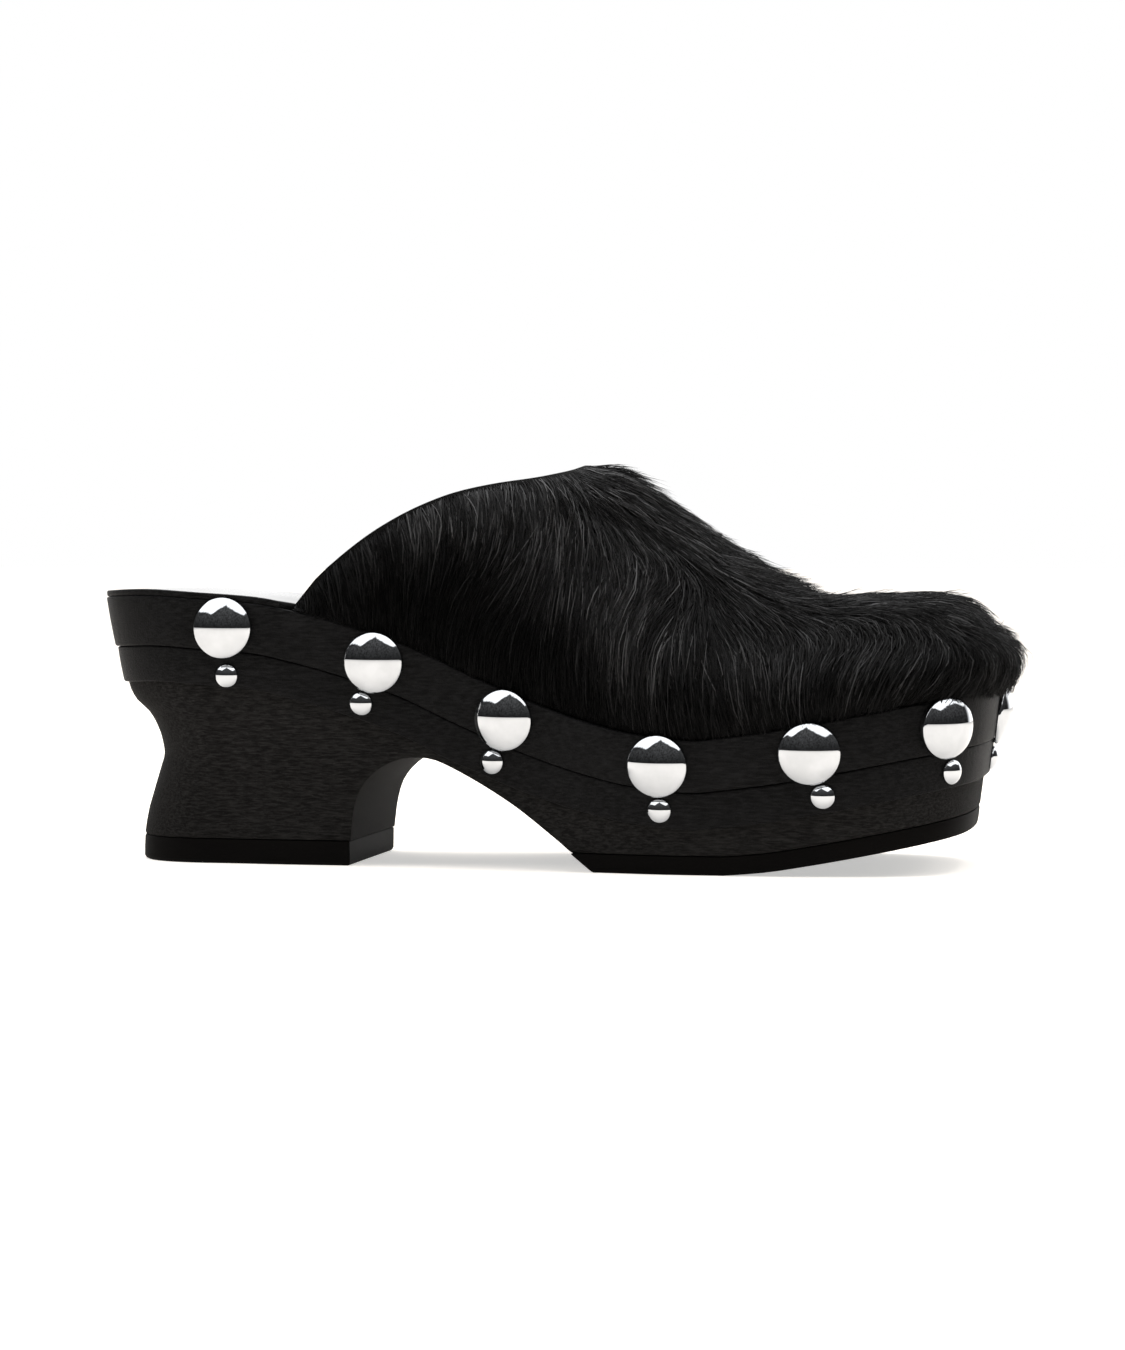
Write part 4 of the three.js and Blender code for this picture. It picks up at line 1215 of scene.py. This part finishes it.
        # Painted sheen by place on the upper
        painted_sheen = self.read(self.PAINTED_SHEEN, points[:, 0], self.share_up(points))
        # Painted glints: a few strands, more in some locks, made light in colour in place of their own
        # highlights
        painted_glint = (rng.random(count) < 0.16 + 0.34 * shade ** 2) * rng.random(count) ** 1.4
        plain = 0.015 + 0.08 * rng.random(count) + 0.15 * shade ** 2 * rng.random(count)
        return painted_sheen * (plain + 0.68 * painted_glint)

    def coat(self, name: str, inside: Array, density: float) -> bpy.types.Mesh:
        """Grows one part of the coat.

        Args:
            name: The mesh's name.
            inside: True for each face of the skin that belongs to this part.
            density: Strands, as a share of the usual count.

        Returns:
            Its mesh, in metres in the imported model's frame.
        """
        rng = self.rng
        count = int(self.strands * density)
        roots, up, length = self.root(inside, count)
        paths, normals = self.trace(roots, length, rng.normal(0, self.stray, count))
        lock = np.array([self.locks.find(root)[1] for root in roots])
        gathered = self.gather(paths, lock, up)
        gathered += normals * self.stand_off(roots, paths[:, -1], self.lock_lift[lock], up)[:, :, None]
        gathered[:, 0] -= normals[:, 0] * self.root_depth
        along = np.linspace(0, 1, self.rings + 1)
        wobble = rng.normal(0, self.wobble, (count, self.rings + 1, 3)) * along[None, :, None] ** 2
        gathered += wobble - normals * (wobble * normals).sum(2)[:, :, None] * 0.6
        tone = self.tone_and_painted_sheen(gathered[:, self.rings // 2], self.lock_shade[lock])
        return self.weave(name, gathered, normals, tone)

    def weave(self, name: str, paths: Array, normals: Array, tone: Array) -> bpy.types.Mesh:
        """Turns traced hairs into one joined mesh of strands.

        Args:
            name: The mesh's name.
            paths: Points of each hair from root to tip.
            normals: The skin's normal at each.
            tone: Each hair's shade, painted sheen and glints included.

        Returns:
            The mesh, in metres.
        """
        count, points = paths.shape[:2]
        tangent = unit(np.gradient(paths, axis=1))
        across = unit(np.cross(tangent, normals))
        over = np.cross(across, tangent)
        wide = self.width / 2 * (0.7 + 0.6 * self.rng.random(count))
        half = (wide[:, None] * np.array(self.TAPER)[:points])[:, :-1, None]
        body, aside = paths[:, :-1], across[:, :-1] * half
        ring = np.stack([body - aside, body + aside, body + over[:, :-1] * half * self.flatness], 2)
        verts = np.concatenate([ring.reshape(count, -1, 3), paths[:, -1:]], 1)
        each = verts.shape[1]
        flat = (verts.reshape(-1, 3) - self.form.last.origin) * MM
        loops, sizes = self.strand()
        all_loops = (loops + each * np.arange(count)[:, None]).ravel()
        all_sizes = np.tile(sizes, count)
        starts = np.concatenate([[0], np.cumsum(all_sizes)[:-1]])
        mesh = bpy.data.meshes.new(name)
        mesh.vertices.add(len(flat))
        mesh.vertices.foreach_set("co", flat.astype(np.float32).ravel())
        mesh.loops.add(len(all_loops))
        mesh.loops.foreach_set("vertex_index", all_loops.astype(np.int32))
        mesh.polygons.add(len(all_sizes))
        mesh.polygons.foreach_set("loop_start", starts.astype(np.int32))
        mesh.polygons.foreach_set("use_smooth", np.ones(len(all_sizes), bool))
        shade = mesh.attributes.new("shade", "FLOAT", "POINT")
        shade.data.foreach_set("value", np.repeat(tone, each).astype(np.float32))
        mesh.update(calc_edges=True)
        mesh.validate()
        return mesh


@dataclass
class DomeNails:
    """The chrome dome nails: a large and a small one in each pair."""

    last: Last
    bands: EdgeBands
    large: float = 17.0
    large_height: float = 3.9
    small: float = 6.8
    small_height: float = 2.0
    drop: float = 7.6
    skirt: float = 1.2
    wall_share: float = 0.2
    rim_sample: float = 0.7
    rim_bulge: float = 0.02
    skirt_inset: float = 0.3
    heel_tilt: float = 5.0

    # Pairs along each side: place, how far forward the small one leans, and any gap between the two
    PAIRS = (
        (0.158, 0.04, 0.2), (0.33, -0.34, 0.0), (0.478, -0.31, 0.0),
        (0.652, 0.03, 0.0), (0.816, 0.3, 0.0), (0.959, 0.09, 0.0),
    )

    def head(self, diameter: float, height: float, sides: int, rings: int) -> BMesh:
        """A dome's head facing +Z, with its rounded rim and skirt.

        Args:
            diameter: Its width.
            height: Its height above the band.
            sides: Steps round it.
            rings: Steps from the rim to the crown.

        Returns:
            Its mesh.
        """
        radius = diameter / 2
        wall = self.wall_share * height
        cap = height - wall
        sphere = (radius * radius + cap * cap) / (2 * cap)
        rim = math.asin(radius / sphere)
        inner, outer = radius - self.skirt_inset, radius + self.rim_bulge
        profile = [(0.0, -self.skirt), (inner, -self.skirt), (inner, -0.25), (radius, -0.12), (outer, 0.0)]
        profile.append((outer, 0.85 * wall))
        for step in (0.12, *range(1, rings + 1)):
            angle = rim * (1 - step / rings)
            profile.append((sphere * math.sin(angle), sphere * math.cos(angle) - sphere + height))
        profile[-1] = (0.0, height)
        bm = bmesh.new()
        verts = [bm.verts.new((x, 0, z)) for x, z in profile]
        edges = [bm.edges.new(pair) for pair in zip(verts, verts[1:])]
        turn = {"cent": (0, 0, 0), "axis": (0, 0, 1), "angle": 2 * math.pi, "steps": sides}
        bmesh.ops.spin(bm, geom=[*verts, *edges], use_merge=True, **turn)
        bmesh.ops.remove_doubles(bm, verts=bm.verts, dist=1e-4)
        return bm

    def seat(self, x: float, z: float, side: Side, offset: float, radius: float) -> tuple[Vector, Vector]:
        """Where a dome sits on a side: clear of all that lies under its rim.

        Args:
            x: Length along the shoe.
            z: Height.
            side: Side of the shoe.
            offset: The band's outer face.
            radius: The dome's radius.

        Returns:
            The seat and the way that the dome faces.
        """
        reach = self.rim_sample * radius
        seat = self.last.side_at(x, z, side, offset)
        around = ((-1, 0), (1, 0), (0, -1), (0, 1))
        rim = [self.last.side_at(x + u * reach, z + w * reach, side, offset) for u, w in around]
        facing = (rim[1] - rim[0]).cross(rim[3] - rim[2]).normalized()
        if side is Side.INNER:
            facing.negate()
        highest = max(0.0, *((point - seat).dot(facing) for point in rim))
        return seat + facing * (highest + self.last.clearance), facing

    def lean_back(self, facing: Vector, seat: Vector) -> tuple[Vector, Vector]:
        """The facing and seat of the nail that was driven at a slant, its lower rim standing off."""
        tilt = math.radians(self.heel_tilt)
        slanted = Vector((facing.x, facing.y, facing.z + math.tan(tilt))).normalized()
        return slanted, seat + facing * self.last.clearance

    def places(self) -> list[tuple[str, Vector, Vector, bool]]:
        """Every dome's node name, seat and facing, and whether it is a large one."""
        last = self.last
        faces = (last.clearance + self.bands.upper_thickness, last.clearance + self.bands.lower_thickness)
        between = (self.large + self.small) / 2 + last.clearance
        rows: list[tuple[float, float, float, Side | None]] = [(*p, Side.OUTER) for p in self.PAIRS]
        rows.append((1.0, 0.0, 0.0, None))
        rows += [(*p, Side.INNER) for p in reversed(self.PAIRS)]
        made = []
        for number, (along, lean, apart, side) in enumerate(rows, 1):
            x = along * last.length
            steep = math.hypot(1, float(last.top_edge(x + 1) - last.top_edge(x - 1)) / 2)
            z = float(last.top_edge(x)) - self.drop * steep
            down = (between + apart * self.small) / math.hypot(1, lean)
            if side is None:
                facing = Vector((1, 0, -last.toe_draft)).normalized()
                large, small = (
                    (Vector(last.ring(h, face)[last.tip]) + facing * last.clearance, facing)
                    for h, face in zip((z, z - down), faces)
                )
            else:
                large = self.seat(x, z, side, faces[0], self.large / 2)
                small = self.seat(x + lean * down, z - down, side, faces[1], self.small / 2)
            made.append((f"large_dome_{number:02d}", *large, True))
            made.append((f"small_dome_{number:02d}", *small, False))
        return made

    def build(self, node: str, seat: Vector, facing: Vector, is_large: bool) -> BMesh:
        """One dome in its place."""
        large, small = (self.large, self.large_height, 56, 12), (self.small, self.small_height, 32, 7)
        bm = self.head(*(large if is_large else small))
        if node == "large_dome_01":
            facing, seat = self.lean_back(facing, seat)
        turn = Vector((0, 0, 1)).rotation_difference(facing).to_matrix()
        bmesh.ops.rotate(bm, verts=bm.verts, cent=(0, 0, 0), matrix=turn)
        bmesh.ops.translate(bm, verts=bm.verts, vec=seat)
        return bm


@dataclass
class Studio:
    """A pale floor, a white room with a dim wall behind the camera, and soft lights."""

    last: Last
    distance: float = 1.1
    camera_height: float = 0.088
    aim: float = 130.8
    aim_height: float = 0.05
    yaw: float = 9.7
    pitch: float = 1.82
    lens: float = 102.67
    floor_size: float = 40.0

    # The dim wall's upper edge: degrees round from straight behind the camera, and height
    SKYLINE = (
        (-150, 0.35), (-92, 0.41), (-70, 0.5), (-48, 0.5), (-32, 0.72), (-14, 0.85),
        (16, 0.71), (44, 0.52), (70, 0.62), (97, 0.6), (125, 0.35),
    )

    def camera(self) -> None:
        """Sets the camera at the photo's angle."""
        data = bpy.data.cameras.new("camera")
        data.sensor_fit = "AUTO"
        data.sensor_width = 36.0
        data.lens = self.lens
        data.clip_start, data.clip_end = 0.05, 100.0
        cam = link("camera", data)
        yaw = math.radians(self.yaw)
        x, y, _ = (np.array([self.aim, 0, 0]) - self.last.origin) * MM
        aside, back = self.distance * math.sin(yaw), self.distance * math.cos(yaw)
        cam.location = (x + aside, y - back, self.camera_height)
        cam.rotation_euler = (math.radians(90 - self.pitch), 0, yaw)
        bpy.context.scene.camera = cam

    def floor(self) -> None:
        """Lays the pale floor."""
        bm = bmesh.new()
        bmesh.ops.create_grid(bm, x_segments=2, y_segments=2, size=self.floor_size / 2)
        mesh = bpy.data.meshes.new("floor")
        bm.to_mesh(mesh)
        bm.free()
        material, _, _ = start_material(
            "pale_floor", Base_Color=(0.87, 0.81, 0.74, 1), Roughness=0.9, Specular_IOR_Level=0.1,
            Emission_Color=(1, 1, 0.99, 1), Emission_Strength=0.5,
        )
        mesh.materials.append(material)
        floor = link("floor", mesh)

    def room(self) -> None:
        """A white room whose wall behind the camera is dim up to an uneven line."""
        world = bpy.data.worlds.new("room")
        bpy.context.scene.world = world
        world.use_nodes = True
        tree = Tree(world.node_tree)
        ground = world.node_tree.nodes["Background"]
        way = tree.add("TexCoord").outputs["Generated"]
        parts = tree.add("SeparateXYZ")
        tree.join(way, parts.inputs[0])
        backward = tree.maths("MULTIPLY", parts.outputs["Y"], -1.0)
        round_about = tree.maths("ARCTAN2", parts.outputs["X"], backward)
        skyline = tree.add("ValToRGB")
        tree.join(tree.between(round_about, -math.pi, math.pi, 0.0, 1.0), skyline.inputs["Fac"])
        ramp = skyline.color_ramp
        for place, height in self.SKYLINE:
            at = place / 360 + 0.5
            stop = ramp.elements[0] if place == self.SKYLINE[0][0] else ramp.elements.new(at)
            stop.position = at
            stop.color = (height, height, height, 1)
        ramp.elements.remove(ramp.elements[-1])
        noise = tree.add("TexNoise", Scale=14.0, Detail=5.0, Roughness=0.6)
        tree.join(way, noise.inputs["Vector"])
        uneven = tree.between(noise.outputs["Fac"], 0.3, 0.7, -0.02, 0.02)
        line = tree.maths("ADD", skyline.outputs["Color"], uneven)
        over = tree.maths("SUBTRACT", parts.outputs["Z"], line)
        high = tree.between(over, -0.02, 0.02, 0.0, 1.0)
        behind = tree.between(parts.outputs["Y"], 0.55, 0.75, 0.0, 1.0)
        light = tree.maths("MAXIMUM", high, behind)
        speckle = tree.add("TexNoise", Scale=15.0, Detail=6.0, Roughness=0.8)
        tree.join(way, speckle.inputs["Vector"])
        mottled = tree.between(speckle.outputs["Fac"], 0.36, 0.64, 0.2, 2.1)
        dim = tree.maths("MULTIPLY", mottled, tree.between(parts.outputs["Z"], 0.0, 0.7, 0.025, 0.11))
        seen = tree.maths("MAXIMUM", light, dim)
        path = tree.add("LightPath")
        mirrored = tree.maths("MULTIPLY", light, tree.maths("MULTIPLY", path.outputs["Is Glossy Ray"], 1.6))
        value = tree.maths("MAXIMUM", tree.maths("ADD", seen, mirrored), path.outputs["Is Camera Ray"])
        tree.join(value, ground.inputs["Strength"])
        ground.inputs["Color"].default_value = (1, 1, 1, 1)

    def light(self, name: str, power: float, size: tuple[float, float], at: Sequence[float]) -> None:
        """One soft panel aimed at the shoe, never seen in reflections."""
        data = bpy.data.lights.new(name, "AREA")
        data.shape = "RECTANGLE"
        data.size, data.size_y = size
        data.energy = power
        lamp = link(name, data)
        lamp.visible_glossy = False
        lamp.location = at
        way = Vector((0, 0, self.aim_height)) - Vector(at)
        lamp.rotation_euler = way.to_track_quat("-Z", "Y").to_euler()

    def build(self) -> None:
        """Sets up the whole studio."""
        bpy.context.scene.view_settings.view_transform = "Standard"
        self.camera()
        self.floor()
        self.room()
        self.light("overhead_panel", 26.0, (1.6, 1.0), (0.1, 0.1, 1.5))
        self.light("heel_side_panel", 9.0, (0.7, 1.2), (-1.5, -0.5, 0.8))
        self.light("toe_side_panel", 9.0, (0.7, 1.2), (1.5, 0.0, 0.7))


class Clog:
    """The whole shoe, piece by piece."""

    upper_crease = 80.0
    dome_crease = 50.0
    middle = 4.0
    outer_cuts = (135.0, 192.0)
    inner_cut = 160.0
    inner_density = 0.72

    def __init__(self, last: Last) -> None:
        """Readies the finishes."""
        self.last = last
        self.shop = Workshop(last)
        shared = SharedEffects()
        self.leather = SolidFinish(
            "band_leather_black", (0.0012, 0.0012, 0.0013), (0.0125, 0.0125, 0.013), 0.5, 0.05, 1500.0,
            bump=0.35, streak_share=0.7,
        ).build(shared)
        self.wood = SolidFinish(
            "black_stained_wood", (0.0035, 0.0034, 0.0033), (0.022, 0.0215, 0.021), 0.74, 0.04, 500.0,
            pores=0.1, bump=0.5, streak_share=0.7,
        ).build(shared)
        self.rubber = SolidFinish(
            "black_rubber_sole", (0.0018, 0.0016, 0.0015), (0.0065, 0.006, 0.0055), 0.7, 0.04, 2200.0,
            pores=0.2, bump=0.08, dust=0.4,
        ).build(shared)
        self.insole = SolidFinish(
            "insole_leather_black", (0.006, 0.006, 0.006), (0.014, 0.014, 0.014), 0.27, 0.12, 1300.0,
            bump=0.004,
        ).build(shared)
        self.lining = SolidFinish(
            "lining_leather_black", (0.008, 0.0079, 0.0077), (0.017, 0.017, 0.0165), 0.55, 0.25, 1100.0,
            bump=0.15,
        ).build(shared)
        self.hide = SolidFinish(
            "hide_under_hair", (0.001, 0.001, 0.001), (0.003, 0.003, 0.003), 0.8, 0.1, 1800.0, dust=0.2,
        ).build(shared)
        self.chrome = ChromeFinish().build()
        self.hair = HairFinish().build()

    def build_bottom(self) -> None:
        """Wood, rubber, bands and insole."""
        last = self.last
        rubber, bands = RubberSoles(last), EdgeBands(last)
        pieces = (
            ("carved_wooden_sole", WoodenSole(last).build(), [self.wood], "stained_wood", "wood_sole"),
            ("rubber_heel_tip", rubber.heel_tip(), [self.rubber], "black_rubber", "heel_tip"),
            ("rubber_forepart_sole", rubber.forepart(), [self.rubber], "black_rubber", "forepart_sole"),
            ("leather_upper_band", bands.upper(), [self.leather], "band_leather", "upper_band"),
            ("leather_lower_band", bands.lower(), [self.leather], "band_leather", "lower_band"),
            ("leather_insole", Insole(last).build(), [self.insole, self.leather], "insole_leather", "insole"),
        )
        for name, made, materials, slot, node in pieces:
            self.shop.piece(name, made, materials, slot, [node])

    def build_upper(self) -> None:
        """The hollow upper and its coat of hair."""
        form = UpperForm(self.last)
        skin = form.skin()
        coat = HairCoat(form)
        coat.prepare(skin, np.random.default_rng(SEED))
        looks = [self.hide, self.lining]
        obj = self.shop.piece("hide_upper", skin, looks, "hair_on_hide", ["upper"], self.upper_crease)
        group = obj.vertex_groups.new(name="wall")
        wall = obj.modifiers.new("wall", "SOLIDIFY")
        wall.thickness = form.wall * MM
        wall.offset = -1.0
        wall.vertex_group = group.name
        wall.material_offset = 1
        wall.material_offset_rim = 1
        back, front = self.outer_cuts
        parts = (
            ("hair_outer_back", Side.OUTER, -math.inf, back),
            ("hair_outer_middle", Side.OUTER, back, front),
            ("hair_outer_toe", Side.OUTER, front, math.inf),
            ("hair_inner_back", Side.INNER, -math.inf, self.inner_cut),
            ("hair_inner_toe", Side.INNER, self.inner_cut, math.inf),
        )
        for name, side, start, end in parts:
            x, y = coat.middle[:, 0], coat.middle[:, 1]
            inside = ((y < self.middle) == (side is Side.OUTER)) & (x >= start) & (x < end)
            density = 1.0 if side is Side.OUTER else self.inner_density
            self.shop.adopt(name, coat.coat(name, inside, density), [self.hair], "hair_on_hide")

    def build_domes(self) -> None:
        """All the dome nails."""
        nails = DomeNails(self.last, EdgeBands(self.last))
        for node, seat, facing, is_large in nails.places():
            name = node.replace("large_dome", "nail_head_large").replace("small_dome", "nail_head_small")
            made = nails.build(node, seat, facing, is_large)
            self.shop.piece(name, made, [self.chrome], "chrome", [node], self.dome_crease)


def main() -> None:
    """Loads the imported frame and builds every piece."""
    logging.basicConfig(level=logging.INFO, format="%(name)s %(message)s")
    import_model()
    last = Last()
    last.place()
    Studio(last).build()
    clog = Clog(last)
    clog.build_bottom()
    clog.build_upper()
    clog.build_domes()
    bpy.context.view_layer.update()


if __name__ == "__main__":
    main()
